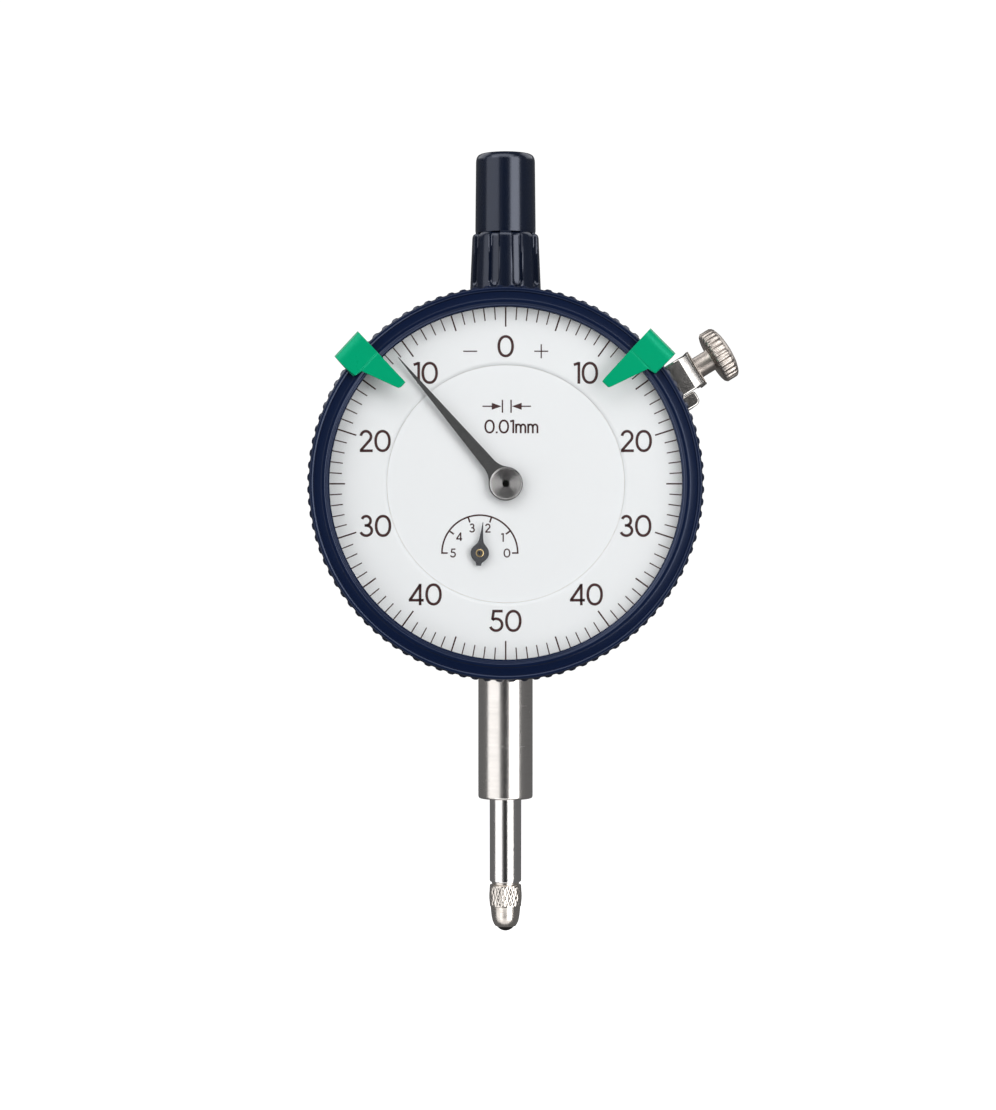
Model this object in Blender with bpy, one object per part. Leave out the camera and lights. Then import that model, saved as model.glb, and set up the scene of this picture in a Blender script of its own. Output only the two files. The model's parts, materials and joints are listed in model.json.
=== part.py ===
"""Plunger dial indicator: round case, turning bezel, two limit markers, stem and spindle.

Frame: +Z up along the spindle, the dial faces -Y, and the origin is the middle of the
stem's clamping length. Sizes below are millimetres. The mesh builders convert to metres.
"""

from math import atan2, cos, hypot, pi, radians, sin, sqrt, tau

import bmesh
import bpy
from mathutils import Matrix, Vector

MM = 0.001
FIT = 0.05          # clearance of fixed fits and running fits
PRESS_FIT = 0.03    # gap left where a piece is pressed on an arbor
SMOOTH_ANGLE = radians(32.0)

# Frame
DIAL_Z = 37.0       # dial centre above the middle of the stem's clamping length

# Case
CASE_R = 26.0
CASE_INNER_R = 24.2
CASE_FRONT_Y = -8.6
CASE_BACK_Y = 6.4
LEDGE_R = 22.0
LEDGE_FRONT_Y = -7.3
LEDGE_BACK_Y = -6.5
FLANGE_R = 21.5
FLANGE_Y = 4.75
WIRE_Y = -7.0
WIRE_R = 0.3

# Bezel
BEZEL_R = 28.5
BEZEL_BACK_Y = -6.3
SKIRT_R = 27.3
SKIRT_Y = -5.5
BEZEL_BORE_R = 26.2
LIP_R = 25.25
LIP_Y = -13.2
SEAT_Y = -12.55

# Crystal, dial and hands
CRYSTAL_Y = -12.5
CRYSTAL_THICK = 0.7
DIAL_FACE_Y = -10.3
DIAL_THICK = 0.4
DIAL_R = 26.1
INNER_DIAL_R = 17.0
INNER_DIAL_STEP = 0.3
POINTER_Y = -11.15
POINTER_THICK = 0.25
POINTER_LENGTH = 23.8
POINTER_ANGLE = radians(40.4)
COUNTER_HAND_Y = -10.6
COUNTER_HAND_THICK = 0.25
COUNTER_ANGLE = radians(-5.9)

# Stem, spindle and cap
STEM_R = 4.0
STEM_BORE_R = 3.05
STEM_BOTTOM = -45.9 + DIAL_Z
STEM_TOP = -22.6 + DIAL_Z
SPINDLE_R = 2.35
SPINDLE_BOTTOM = -58.2 + DIAL_Z
SPINDLE_TOP = 36.5 + DIAL_Z
BUSH_BORE_R = 2.42
CAP_TOP = 48.65 + DIAL_Z
CAP_BOTTOM = 26.3 + DIAL_Z
CAP_STEP = 36.9 + DIAL_Z
CAP_BORE_R = 3.6
CAP_WALL_TOP = 1.2
FLUTES = 9
FLUTE_R = 0.85
FLUTE_HALF_WIDTH = 0.75
CAP_OUTSIDE = [
    (5.3, CAP_BOTTOM), (5.3, CAP_BOTTOM + 1.9), (5.24, CAP_BOTTOM + 2.6), (5.18, CAP_BOTTOM + 3.3),
    (4.85, CAP_STEP - 0.9), (4.8, CAP_STEP - 0.5), (4.6, CAP_STEP - 0.12), (4.35, CAP_STEP),
    (4.45, CAP_STEP + 0.35), (4.32, CAP_TOP - 0.8), (4.1, CAP_TOP - 0.25), (3.6, CAP_TOP), (0.0, CAP_TOP),
]
GRIP_RINGS = {2: 0.55, 3: 0.92, 4: 1.0, 5: 0.95, 6: 0.6}   # share of the flute's depth at each grip ring
STROKE_DOWN = 2.45

# Gear train
RACK_PITCH = 0.625
RACK_TEETH = 16
RACK_HALF_COUNT = 7
TRANSFER_X = -3.7
TRANSFER_Z = -9.9
WHEEL_TEETH = 100
PINION_TEETH = 10
ARBOR_R = 0.55
PIVOT_R = 0.25
PIVOT_HOLE_R = 0.3
GEAR_Y = (-6.7, -6.0)
CENTRE_PINION_Y = (-6.9, -5.8)
RACK_PINION_Y = (-1.0, 1.0)
FRONT_PLATE_Y = (-8.45, -7.45)
FRONT_PLATE_R = 24.0
BRIDGE_Y = (-3.5, -2.7)
REAR_BRIDGE_Y = (2.7, 3.4)
PILLARS = ((-12.5, 0.0), (12.6, 2.2), (12.0, -5.0))
REAR_PILLARS = ((-8.4, -6.3), (-8.4, -13.4))
PLATE_SCREW_ANGLES = (100.0, 220.0, 340.0)
PLATE_SCREW_R = 23.0

# Spindle guide and return spring
GUIDE_Z = -2.0
GUIDE_PIN_R = 0.6
SPRING_X = 6.3
SPRING_POST_Z = -21.9
SPRING_TURNS = 11
SPRING_R = 1.25
SPRING_WIRE_R = 0.18

# Back cover with its hanging lug
COVER_Y = (6.8, 8.2)
COVER_R = 25.8
LUG_HALF = 2.5
LUG_R = 7.5
LUG_HOLE_R = 3.25
LUG_CENTRE_Y = 15.8
COVER_SCREW_R = 22.8
COVER_SCREW_ANGLES = (45.0, 135.0, 225.0, 315.0)

# Limit markers
MARKER_ANGLES = {"marker_left": radians(47.2), "marker_right": radians(-45.2)}
MARKER_FRONT_Y = (-14.0, -13.35)
MARKER_WALL_R = 28.8
MARKER_OUTER_R = 30.15
MARKER_HOOK_Y = (-6.15, -5.45)
MARKER_HOOK_R = 27.6

# Bezel clamp
CLAMP_ANGLE = radians(31.5)
CLAMP_BASE_U = (26.25, 28.2)
CLAMP_BASE_V = (-4.65, 3.2)
CLAMP_EAR_V = -2.6
CLAMP_SCREW_Y = -0.7
FIXING_SCREW_Y = 2.2
CLAMP_BASE_Y = (-4.4, 4.2)
BRACKET_U = 32.7
BRACKET_V = 2.5
BRACKET_THICK = 0.8
BRACKET_Y = (-5.2, 3.8)
THUMB_SHANK_R = 1.6
THUMB_HEAD_U = (35.5, 37.7)
THUMB_HEAD_R = 3.85

STEEL = ((0.60, 0.58, 0.55), 0.28, 1.0)
DARK_STEEL = ((0.20, 0.20, 0.21), 0.40, 1.0)
BRASS = ((0.72, 0.55, 0.28), 0.32, 1.0)
NAVY = ((0.008, 0.012, 0.030), 0.38, 0.2)
BLACK = ((0.012, 0.012, 0.014), 0.55, 0.0)
GLOSS_BLACK = ((0.010, 0.012, 0.022), 0.16, 0.0)
WHITE = ((0.80, 0.80, 0.78), 0.55, 0.0)
GREEN = ((0.0, 0.36, 0.18), 0.35, 0.0)
CLEAR = ((0.90, 0.92, 0.92), 0.05, 0.0)
RUBBER = ((0.020, 0.020, 0.020), 0.80, 0.0)

AXIS_X = (Vector((0, 1, 0)), Vector((0, 0, 1)), Vector((1, 0, 0)))
AXIS_Y = (Vector((1, 0, 0)), Vector((0, 0, 1)), Vector((0, 1, 0)))
AXIS_Z = (Vector((1, 0, 0)), Vector((0, 1, 0)), Vector((0, 0, 1)))
CLAMP_U = Vector((cos(CLAMP_ANGLE), 0.0, sin(CLAMP_ANGLE)))
CLAMP_V = Vector((-sin(CLAMP_ANGLE), 0.0, cos(CLAMP_ANGLE)))
CLAMP_AXES = (Vector((0, 1, 0)), CLAMP_V, CLAMP_U)
CLAMP_PLATE = (CLAMP_U, CLAMP_V, Vector((0, 1, 0)))
DIAL_CENTRE = Vector((0.0, 0.0, DIAL_Z))
TRANSFER = Vector((TRANSFER_X, 0.0, DIAL_Z + TRANSFER_Z))
TAKE_UP = Vector((-TRANSFER_X, 0.0, DIAL_Z - TRANSFER_Z))
RACK_R = RACK_TEETH * RACK_PITCH / tau
RACK_MODULE = RACK_PITCH / pi
CENTRE_DISTANCE = hypot(TRANSFER_X, TRANSFER_Z)
WHEEL_R = CENTRE_DISTANCE * WHEEL_TEETH / (WHEEL_TEETH + PINION_TEETH)
PINION_R = CENTRE_DISTANCE - WHEEL_R
GEAR_MODULE = 2.0 * WHEEL_R / WHEEL_TEETH
MESH_ANGLE = atan2(-TRANSFER_Z, -TRANSFER_X)


def clear_scene():
    """Remove every object the scene starts with."""
    for obj in list(bpy.data.objects):
        bpy.data.objects.remove(obj, do_unlink=True)


def make_material(name, finish):
    """Return a Principled material with the finish's colour, roughness and metallic."""
    colour, roughness, metallic = finish
    material = bpy.data.materials.new(name)
    material.use_nodes = True
    shader = material.node_tree.nodes["Principled BSDF"]
    shader.inputs["Base Color"].default_value = (*colour, 1.0)
    shader.inputs["Roughness"].default_value = roughness
    shader.inputs["Metallic"].default_value = metallic
    return material


def add_object(name, bm, finish, origin=None):
    """Turn a bmesh in millimetres into an object whose origin is the given point."""
    pivot = Vector(origin) if origin is not None else Vector((0.0, 0.0, 0.0))
    bmesh.ops.remove_doubles(bm, verts=bm.verts, dist=1e-5)
    bmesh.ops.translate(bm, verts=bm.verts, vec=-pivot)
    bmesh.ops.scale(bm, verts=bm.verts, vec=(MM, MM, MM))
    bmesh.ops.recalc_face_normals(bm, faces=bm.faces)
    mesh = bpy.data.meshes.new(name)
    bm.to_mesh(mesh)
    bm.free()
    mesh.shade_smooth()
    mesh.set_sharp_from_angle(angle=SMOOTH_ANGLE)
    mesh.materials.append(make_material(name, finish))
    obj = bpy.data.objects.new(name, mesh)
    obj.location = pivot * MM
    bpy.context.scene.collection.objects.link(obj)
    return obj


def place(point, centre, axes):
    """Map local coordinates onto the three axes about a centre."""
    return centre + axes[0] * point[0] + axes[1] * point[1] + axes[2] * point[2]


def lathe(bm, profile, centre, axes, segments, closed=True, radius=None):
    """Revolve (radius, height) points about axes[2]; an open profile ends on the axis."""
    rings = []
    for index, (r, h) in enumerate(profile):
        if r == 0.0:
            rings.append([bm.verts.new(place((0.0, 0.0, h), centre, axes))])
            continue
        ring = []
        for step in range(segments):
            angle = tau * step / segments
            real = radius(index, r, angle) if radius else r
            ring.append(bm.verts.new(place((real * cos(angle), real * sin(angle), h), centre, axes)))
        rings.append(ring)
    pairs = list(zip(rings, rings[1:]))
    if closed:
        pairs.append((rings[-1], rings[0]))
    for first, second in pairs:
        bridge_rings(bm, first, second, segments)


def bridge_rings(bm, first, second, segments):
    """Join two rings of vertices, either of which may be a single pole."""
    for step in range(segments):
        after = (step + 1) % segments
        if len(first) == 1 and len(second) == 1:
            return
        if len(first) == 1:
            bm.faces.new((first[0], second[step], second[after]))
        elif len(second) == 1:
            bm.faces.new((first[step], second[0], first[after]))
        else:
            bm.faces.new((first[step], second[step], second[after], first[after]))


def prism(bm, outline, low, high, centre, axes):
    """Extrude an outline in the plane of axes[0] and axes[1] along axes[2]."""
    bottom = [bm.verts.new(place((a, b, low), centre, axes)) for a, b in outline]
    top = [bm.verts.new(place((a, b, high), centre, axes)) for a, b in outline]
    count = len(outline)
    for step in range(count):
        after = (step + 1) % count
        bm.faces.new((bottom[step], bottom[after], top[after], top[step]))
    caps = [bm.faces.new(bottom), bm.faces.new(list(reversed(top)))]
    bmesh.ops.triangulate(bm, faces=caps)


def tube(bm, points, radius, sides):
    """Sweep a closed round section along a path without twist jumps."""
    rings = []
    normal = None
    for index, point in enumerate(points):
        before = points[max(index - 1, 0)]
        after = points[min(index + 1, len(points) - 1)]
        tangent = (after - before).normalized()
        if normal is None:
            normal = tangent.orthogonal().normalized()
        normal = (normal - tangent * normal.dot(tangent)).normalized()
        side = tangent.cross(normal)
        rings.append([
            bm.verts.new(point + radius * (cos(tau * k / sides) * normal + sin(tau * k / sides) * side))
            for k in range(sides)
        ])
    for first, second in zip(rings, rings[1:]):
        bridge_rings(bm, first, second, sides)
    bm.faces.new(rings[0])
    bm.faces.new(rings[-1])


def rod_profile(radius, low, high, chamfer=0.0):
    """Return an open profile for a plain rod with chamfered ends."""
    if chamfer == 0.0:
        return [(0.0, low), (radius, low), (radius, high), (0.0, high)]
    return [
        (0.0, low), (radius - chamfer, low), (radius, low + chamfer),
        (radius, high - chamfer), (radius - chamfer, high), (0.0, high),
    ]


def ring_profile(inner, outer, low, high, chamfer=0.0):
    """Return a closed profile for a plain ring with chamfered outer edges."""
    if chamfer == 0.0:
        return [(inner, low), (outer, low), (outer, high), (inner, high)]
    return [
        (inner, low), (outer - chamfer, low), (outer, low + chamfer),
        (outer, high - chamfer), (outer - chamfer, high), (inner, high),
    ]


def turned(name, profile, centre, axes, finish, segments=32, closed=False, origin=None):
    """Make one turned object."""
    bm = bmesh.new()
    lathe(bm, profile, Vector(centre), axes, segments, closed)
    return add_object(name, bm, finish, origin)


def cutter(name, shapes):
    """Make a hidden cutter from functions that each add a closed shape to a bmesh."""
    bm = bmesh.new()
    for shape in shapes:
        shape(bm)
    obj = add_object(name, bm, DARK_STEEL)
    obj.hide_render = True
    obj.display_type = "WIRE"
    return obj


def apply_boolean(obj, tool, operation="DIFFERENCE"):
    """Cut an object with a cutter, or join the cutter to it."""
    boolean = obj.modifiers.new(tool.name, "BOOLEAN")
    boolean.operation = operation
    boolean.object = tool
    boolean.solver = "EXACT"


def hole(centre, axes, radius, low, high, segments=24):
    """Return a function that adds a round hole's cutter to a bmesh."""
    return lambda bm: lathe(
        bm, rod_profile(radius, low, high), Vector(centre), axes, segments, closed=False)


def dial_point(radius, degrees_ccw_from_right):
    """Return a point on a circle about the dial centre."""
    angle = radians(degrees_ccw_from_right)
    return DIAL_CENTRE + Vector((radius * cos(angle), 0.0, radius * sin(angle)))


def wheel_outline(teeth, pitch_r, module, phase):
    """Return a fine gear's outline with pointed teeth and roots."""
    step = tau / teeth
    points = []
    for index in range(teeth):
        centre = phase + index * step
        for radius, angle in (
            (pitch_r - 1.2 * module, centre - step / 2),
            (pitch_r + 0.8 * module, centre),
        ):
            points.append((radius * cos(angle), radius * sin(angle)))
    return points


def pinion_outline(teeth, pitch_r, module, phase, tip_share, root_share):
    """Return a small gear's outline with flat roots."""
    step = tau / teeth
    points = []
    for index in range(teeth):
        centre = phase + index * step
        for radius, angle in (
            (pitch_r - 1.1 * module, centre - root_share * step / 2),
            (pitch_r + 0.7 * module, centre - tip_share * step / 2),
            (pitch_r + 0.7 * module, centre + tip_share * step / 2),
            (pitch_r - 1.1 * module, centre + root_share * step / 2),
        ):
            points.append((radius * cos(angle), radius * sin(angle)))
    return points


def ring_between(bm, outline, inner_r, low, high, centre, axes):
    """Extrude an outline with a round bore of as many sides as the outline has points."""
    count = len(outline)
    levels = []
    for height in (low, high):
        outer = [bm.verts.new(place((a, b, height), centre, axes)) for a, b in outline]
        inner = []
        for a, b in outline:
            scale = inner_r / hypot(a, b)
            inner.append(bm.verts.new(place((a * scale, b * scale, height), centre, axes)))
        levels.append((outer, inner))
    (low_outer, low_inner), (high_outer, high_inner) = levels
    bridge_rings(bm, low_outer, high_outer, count)
    bridge_rings(bm, high_outer, high_inner, count)
    bridge_rings(bm, high_inner, low_inner, count)
    bridge_rings(bm, low_inner, low_outer, count)


# Case and back ------------------------------------------------------------------------

def build_case():
    """Make the case wall with its front ledge, rear flange, retaining groove and holes."""
    profile = [
        (CASE_INNER_R, CASE_FRONT_Y), (CASE_R - 0.3, CASE_FRONT_Y), (CASE_R, CASE_FRONT_Y + 0.3),
        (CASE_R, WIRE_Y - WIRE_R - 0.1), (CASE_R - 0.35, WIRE_Y - WIRE_R - 0.1),
        (CASE_R - 0.35, WIRE_Y + WIRE_R + 0.1), (CASE_R, WIRE_Y + WIRE_R + 0.1),
        (CASE_R, CASE_BACK_Y - 0.8), (CASE_R - 0.8, CASE_BACK_Y), (FLANGE_R, CASE_BACK_Y),
        (FLANGE_R, FLANGE_Y), (CASE_INNER_R, FLANGE_Y), (CASE_INNER_R, LEDGE_BACK_Y),
        (LEDGE_R, LEDGE_BACK_Y), (LEDGE_R, LEDGE_FRONT_Y), (CASE_INNER_R, LEDGE_FRONT_Y),
    ]
    case = turned("case_body", profile, DIAL_CENTRE, AXIS_Y, NAVY, 48, closed=True)
    shapes = [
        hole((0, 0, 0), AXIS_Z, STEM_R + FIT, DIAL_Z - 27.5, DIAL_Z - 20.5, 32),
        hole((0, 0, 0), AXIS_Z, CAP_BORE_R, DIAL_Z + 20.5, DIAL_Z + 27.5, 32),
    ]
    for angle in COVER_SCREW_ANGLES:
        shapes.append(hole(dial_point(COVER_SCREW_R, angle), AXIS_Y, 0.85, 4.4, 7.5, 12))
    for angle in PLATE_SCREW_ANGLES:
        shapes.append(hole(dial_point(PLATE_SCREW_R, angle), AXIS_Y, 0.65, -8.0, -6.0, 12))
    apply_boolean(case, cutter("cut_case", shapes))


def build_back():
    """Make the back cover with its lug, its gasket and its four screws."""
    profile = [
        (0.0, COVER_Y[0]), (COVER_R - 0.2, COVER_Y[0]), (COVER_R, COVER_Y[0] + 0.2),
        (COVER_R, COVER_Y[1] - 0.6), (COVER_R - 0.6, COVER_Y[1]), (0.0, COVER_Y[1]),
    ]
    cover = turned("back_cover", profile, DIAL_CENTRE, AXIS_Y, NAVY, 48)
    apply_boolean(cover, cutter("join_lug", [add_lug]), "UNION")
    shapes = [hole(DIAL_CENTRE + Vector((0, LUG_CENTRE_Y, 0)), AXIS_X, LUG_HOLE_R, -5.0, 5.0, 32)]
    for angle in COVER_SCREW_ANGLES:
        shapes.append(hole(dial_point(COVER_SCREW_R, angle), AXIS_Y, 0.9, 6.0, 9.0, 12))
    apply_boolean(cover, cutter("cut_cover", shapes))
    turned("back_gasket", ring_profile(23.9, 25.1, CASE_BACK_Y + FIT, COVER_Y[0] - FIT),
           DIAL_CENTRE, AXIS_Y, RUBBER, 36, closed=True)
    for number, angle in enumerate(COVER_SCREW_ANGLES, start=1):
        build_screw(f"back_screw_{number}", dial_point(COVER_SCREW_R, angle), AXIS_Y,
                    COVER_Y[1] + FIT, 0.9, 1.75, 0.75, 3.5, 1.0)


def add_lug(bm):
    """Add the lug's plate, rounded about the hole's axis and rooted in the cover."""
    outline = [(COVER_Y[0] + 0.5, -LUG_R), (LUG_CENTRE_Y, -LUG_R)]
    for step in range(1, 16):
        angle = -pi / 2 + pi * step / 16
        outline.append((LUG_CENTRE_Y + LUG_R * cos(angle), LUG_R * sin(angle)))
    outline += [(LUG_CENTRE_Y, LUG_R), (COVER_Y[0] + 0.5, LUG_R)]
    prism(bm, outline, -LUG_HALF, LUG_HALF, DIAL_CENTRE, AXIS_X)


def build_screw(name, point, axes, seat, head, head_r, shank_r, length, direction, origin=None):
    """Make a slotted pan-head screw; direction +1 has its head toward +axes[2]."""
    def height(value):
        return seat + direction * value
    rim = 0.55 * head
    slot_depth = 0.4 * head
    slot_half = 0.18 * head_r
    bm = bmesh.new()
    profile = [
        (0.0, height(-length)), (shank_r, height(-length)), (shank_r, height(0.0)),
        (head_r, height(0.0)), (head_r, height(rim)), (0.82 * head_r, height(head)), (0.0, height(head)),
    ]
    lathe(bm, profile, Vector(point), axes, 12, closed=False)
    screw = add_object(name, bm, STEEL, origin)
    outline = [(-2 * head_r, -slot_half), (2 * head_r, -slot_half),
               (2 * head_r, slot_half), (-2 * head_r, slot_half)]
    low, high = sorted((height(head - slot_depth), height(head + 1.0)))
    tool = cutter(f"slot_{name}", [lambda bm: prism(bm, outline, low, high, Vector(point), axes)])
    apply_boolean(screw, tool)
    return screw


# Stem, bushings and cap ---------------------------------------------------------------

def build_stem():
    """Make the stem tube and the two spindle bushings."""
    stem = [
        (STEM_BORE_R, STEM_BOTTOM), (STEM_R - 0.3, STEM_BOTTOM), (STEM_R, STEM_BOTTOM + 0.3),
        (STEM_R, STEM_TOP), (STEM_BORE_R, STEM_TOP),
    ]
    turned("stem", stem, (0, 0, 0), AXIS_Z, STEEL, 32, closed=True)
    lower = ring_profile(BUSH_BORE_R, STEM_BORE_R - FIT, STEM_BOTTOM + 0.35, STEM_BOTTOM + 13.0, 0.2)
    turned("lower_bushing", lower, (0, 0, 0), AXIS_Z, BRASS, 24, closed=True)
    upper = [
        (BUSH_BORE_R, DIAL_Z + 22.6), (4.6, DIAL_Z + 22.6), (4.6, DIAL_Z + 23.6),
        (CAP_BORE_R - FIT, DIAL_Z + 23.6), (CAP_BORE_R - FIT, DIAL_Z + 31.0),
        (BUSH_BORE_R, DIAL_Z + 31.0),
    ]
    turned("upper_bushing", upper, (0, 0, 0), AXIS_Z, BRASS, 24, closed=True)


def cap_radius(index, radius, angle):
    """Return the cap's radius, dipping at each of the grip's flutes."""
    if index not in GRIP_RINGS:
        return radius
    pitch = tau / FLUTES
    offset = (angle + pi / 2 + pitch / 2) % pitch - pitch / 2
    across = abs(radius * sin(offset))
    if across >= FLUTE_HALF_WIDTH:
        return radius
    depth = FLUTE_R * sqrt(1.0 - (across / FLUTE_HALF_WIDTH) ** 2)
    return radius - depth * GRIP_RINGS[index]


def build_cap():
    """Make the fluted cap that covers the spindle's upper end."""
    bm = bmesh.new()
    bore = CAP_BORE_R + FIT
    inside = [(0.0, CAP_TOP - CAP_WALL_TOP), (bore, CAP_TOP - CAP_WALL_TOP), (bore, CAP_BOTTOM)]
    rings = CAP_OUTSIDE + inside + CAP_OUTSIDE[:1]
    lathe(bm, rings, Vector((0, 0, 0)), AXIS_Z, 72, closed=False, radius=cap_radius)
    add_object("spindle_cap", bm, GLOSS_BLACK)


# Spindle ------------------------------------------------------------------------------

def rack_cut(bm):
    """Add the shape that leaves rack teeth on the spindle's left flank."""
    pitch_x = TRANSFER_X + RACK_R
    tip = pitch_x - 0.7 * RACK_MODULE
    root = pitch_x + 1.1 * RACK_MODULE
    outline = [(-4.0, -(RACK_HALF_COUNT + 1) * RACK_PITCH)]
    outline.append((root, -(RACK_HALF_COUNT + 1) * RACK_PITCH))
    for index in range(-RACK_HALF_COUNT, RACK_HALF_COUNT + 1):
        z = index * RACK_PITCH
        outline += [
            (root, z - 0.225 * RACK_PITCH), (tip, z - 0.1 * RACK_PITCH),
            (tip, z + 0.1 * RACK_PITCH), (root, z + 0.225 * RACK_PITCH),
        ]
    outline.append((root, (RACK_HALF_COUNT + 1) * RACK_PITCH))
    outline.append((-4.0, (RACK_HALF_COUNT + 1) * RACK_PITCH))
    prism(bm, outline, -3.0, 3.0, Vector((0, 0, DIAL_Z + TRANSFER_Z)), AXIS_Y)


def build_spindle():
    """Make the spindle with its rack, guide pin, stop ring and contact point."""
    profile = [
        (0.0, SPINDLE_BOTTOM + 5.2), (1.3, SPINDLE_BOTTOM + 5.2), (1.3, SPINDLE_BOTTOM),
        (SPINDLE_R - 0.25, SPINDLE_BOTTOM), (SPINDLE_R, SPINDLE_BOTTOM + 0.25),
        (SPINDLE_R, SPINDLE_TOP - 0.4), (SPINDLE_R - 0.4, SPINDLE_TOP), (0.0, SPINDLE_TOP),
    ]
    spindle = turned("spindle", profile, (0, 0, 0), AXIS_Z, STEEL, 32)
    shapes = [rack_cut]
    shapes.append(hole((0, 0, DIAL_Z + GUIDE_Z), AXIS_X, GUIDE_PIN_R + FIT, 0.5, 3.0, 16))
    apply_boolean(spindle, cutter("cut_spindle", shapes))
    stop = ring_profile(SPINDLE_R + FIT, 3.3, DIAL_Z + 31.0 + STROKE_DOWN + 0.05,
                        DIAL_Z + 32.0 + STROKE_DOWN, 0.15)
    turned("spindle_stop_ring", stop, (0, 0, 0), AXIS_Z, STEEL, 28, closed=True)
    pin = rod_profile(GUIDE_PIN_R, 0.6, SPRING_X + 1.3, 0.1)
    turned("guide_pin", pin, (0, 0, DIAL_Z + GUIDE_Z), AXIS_X, STEEL, 16)
    build_contact_point()


def build_contact_point():
    """Make the screwed-in contact point and the ball it carries."""
    top = SPINDLE_BOTTOM - 0.05
    tip = -65.4 + DIAL_Z
    ball_r = 1.5
    socket_r = ball_r + 2.4 * FIT
    ball_z = tip + ball_r
    nose_z = tip + 0.7
    nose_r = sqrt(socket_r ** 2 - (ball_z - nose_z) ** 2)
    profile = [
        (0.0, top + 4.6), (1.05, top + 4.6), (1.25, top + 4.4), (1.25, top), (2.05, top),
        (2.05, top - 0.3), (2.25, top - 0.35), (2.42, top - 0.8), (2.45, top - 1.9), (2.42, top - 3.0),
        (2.25, top - 3.5), (1.88, tip + 1.3), (1.62, nose_z), (nose_r, nose_z),
    ]
    start = atan2(nose_z - ball_z, nose_r)
    for step in range(1, 4):
        angle = start + (pi / 2 - start) * step / 4
        profile.append((socket_r * cos(angle), ball_z + socket_r * sin(angle)))
    profile.append((0.0, ball_z + socket_r))
    turned("contact_point", profile, (0, 0, 0), AXIS_Z, STEEL, 24)
    ball = [(0.0, ball_z - ball_r)]
    for step in range(1, 8):
        angle = -pi / 2 + pi * step / 8
        ball.append((ball_r * cos(angle), ball_z + ball_r * sin(angle)))
    ball.append((0.0, ball_z + ball_r))
    turned("contact_ball", ball, (0, 0, 0), AXIS_Z, GLOSS_BLACK, 16)


# Movement -----------------------------------------------------------------------------

def build_plates():
    """Make the front plate, the bridge, the rear bridge and what holds them."""
    front = turned("movement_front_plate", rod_profile(FRONT_PLATE_R, *FRONT_PLATE_Y),
                   DIAL_CENTRE, AXIS_Y, BRASS, 48)
    shapes = [hole(point, AXIS_Y, ARBOR_R + FIT, -9.0, -7.0, 16)
              for point in (DIAL_CENTRE, TRANSFER)]
    shapes.append(hole(TAKE_UP, AXIS_Y, PIVOT_HOLE_R, -7.9, -7.0, 12))
    for angle in PLATE_SCREW_ANGLES:
        shapes.append(hole(dial_point(PLATE_SCREW_R, angle), AXIS_Y, 0.65, -9.0, -7.0, 12))
    apply_boolean(front, cutter("cut_front_plate", shapes))
    for number, angle in enumerate(PLATE_SCREW_ANGLES, start=1):
        build_screw(f"plate_screw_{number}", dial_point(PLATE_SCREW_R, angle), AXIS_Y,
                    FRONT_PLATE_Y[0] - FIT, 0.6, 1.05, 0.55, 1.75, -1.0)
    outline = [(-15.0, 2.5), (-15.0, -2.5), (-11.0, -15.6), (-6.0, -15.6), (0.0, -14.0),
               (13.2, -7.6), (15.2, 2.6), (13.5, 5.0), (7.5, 13.5), (1.5, 13.5)]
    bridge_bm = bmesh.new()
    prism(bridge_bm, outline, *BRIDGE_Y, DIAL_CENTRE, AXIS_Y)
    bridge = add_object("movement_bridge", bridge_bm, BRASS)
    shapes = [hole(TRANSFER, AXIS_Y, ARBOR_R + FIT, -4.0, -2.0, 16)]
    shapes += [hole(point, AXIS_Y, PIVOT_HOLE_R, -4.0, -2.0, 12) for point in (DIAL_CENTRE, TAKE_UP)]
    apply_boolean(bridge, cutter("cut_bridge", shapes))
    build_pillars()


def build_pillars():
    """Make the pillars between the plates and the small bridge behind the rack."""
    for number, (x, z) in enumerate(PILLARS, start=1):
        turned(f"pillar_{number}", rod_profile(1.2, FRONT_PLATE_Y[1] + FIT, BRIDGE_Y[0] - FIT, 0.15),
               DIAL_CENTRE + Vector((x, 0, z)), AXIS_Y, BRASS, 16)
    for number, (x, z) in enumerate(REAR_PILLARS, start=1):
        turned(f"rear_pillar_{number}", rod_profile(1.0, BRIDGE_Y[1] + FIT, REAR_BRIDGE_Y[0] - FIT, 0.15),
               DIAL_CENTRE + Vector((x, 0, z)), AXIS_Y, BRASS, 16)
    outline = [(-10.0, -4.8), (-10.0, -14.9), (-6.8, -14.9), (-2.0, -11.6), (-2.0, -8.2), (-6.8, -4.8)]
    bm = bmesh.new()
    prism(bm, outline, *REAR_BRIDGE_Y, DIAL_CENTRE, AXIS_Y)
    rear = add_object("rear_bridge", bm, BRASS)
    apply_boolean(rear, cutter("cut_rear_bridge", [hole(TRANSFER, AXIS_Y, PIVOT_HOLE_R, 2.0, 4.0, 12)]))


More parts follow.
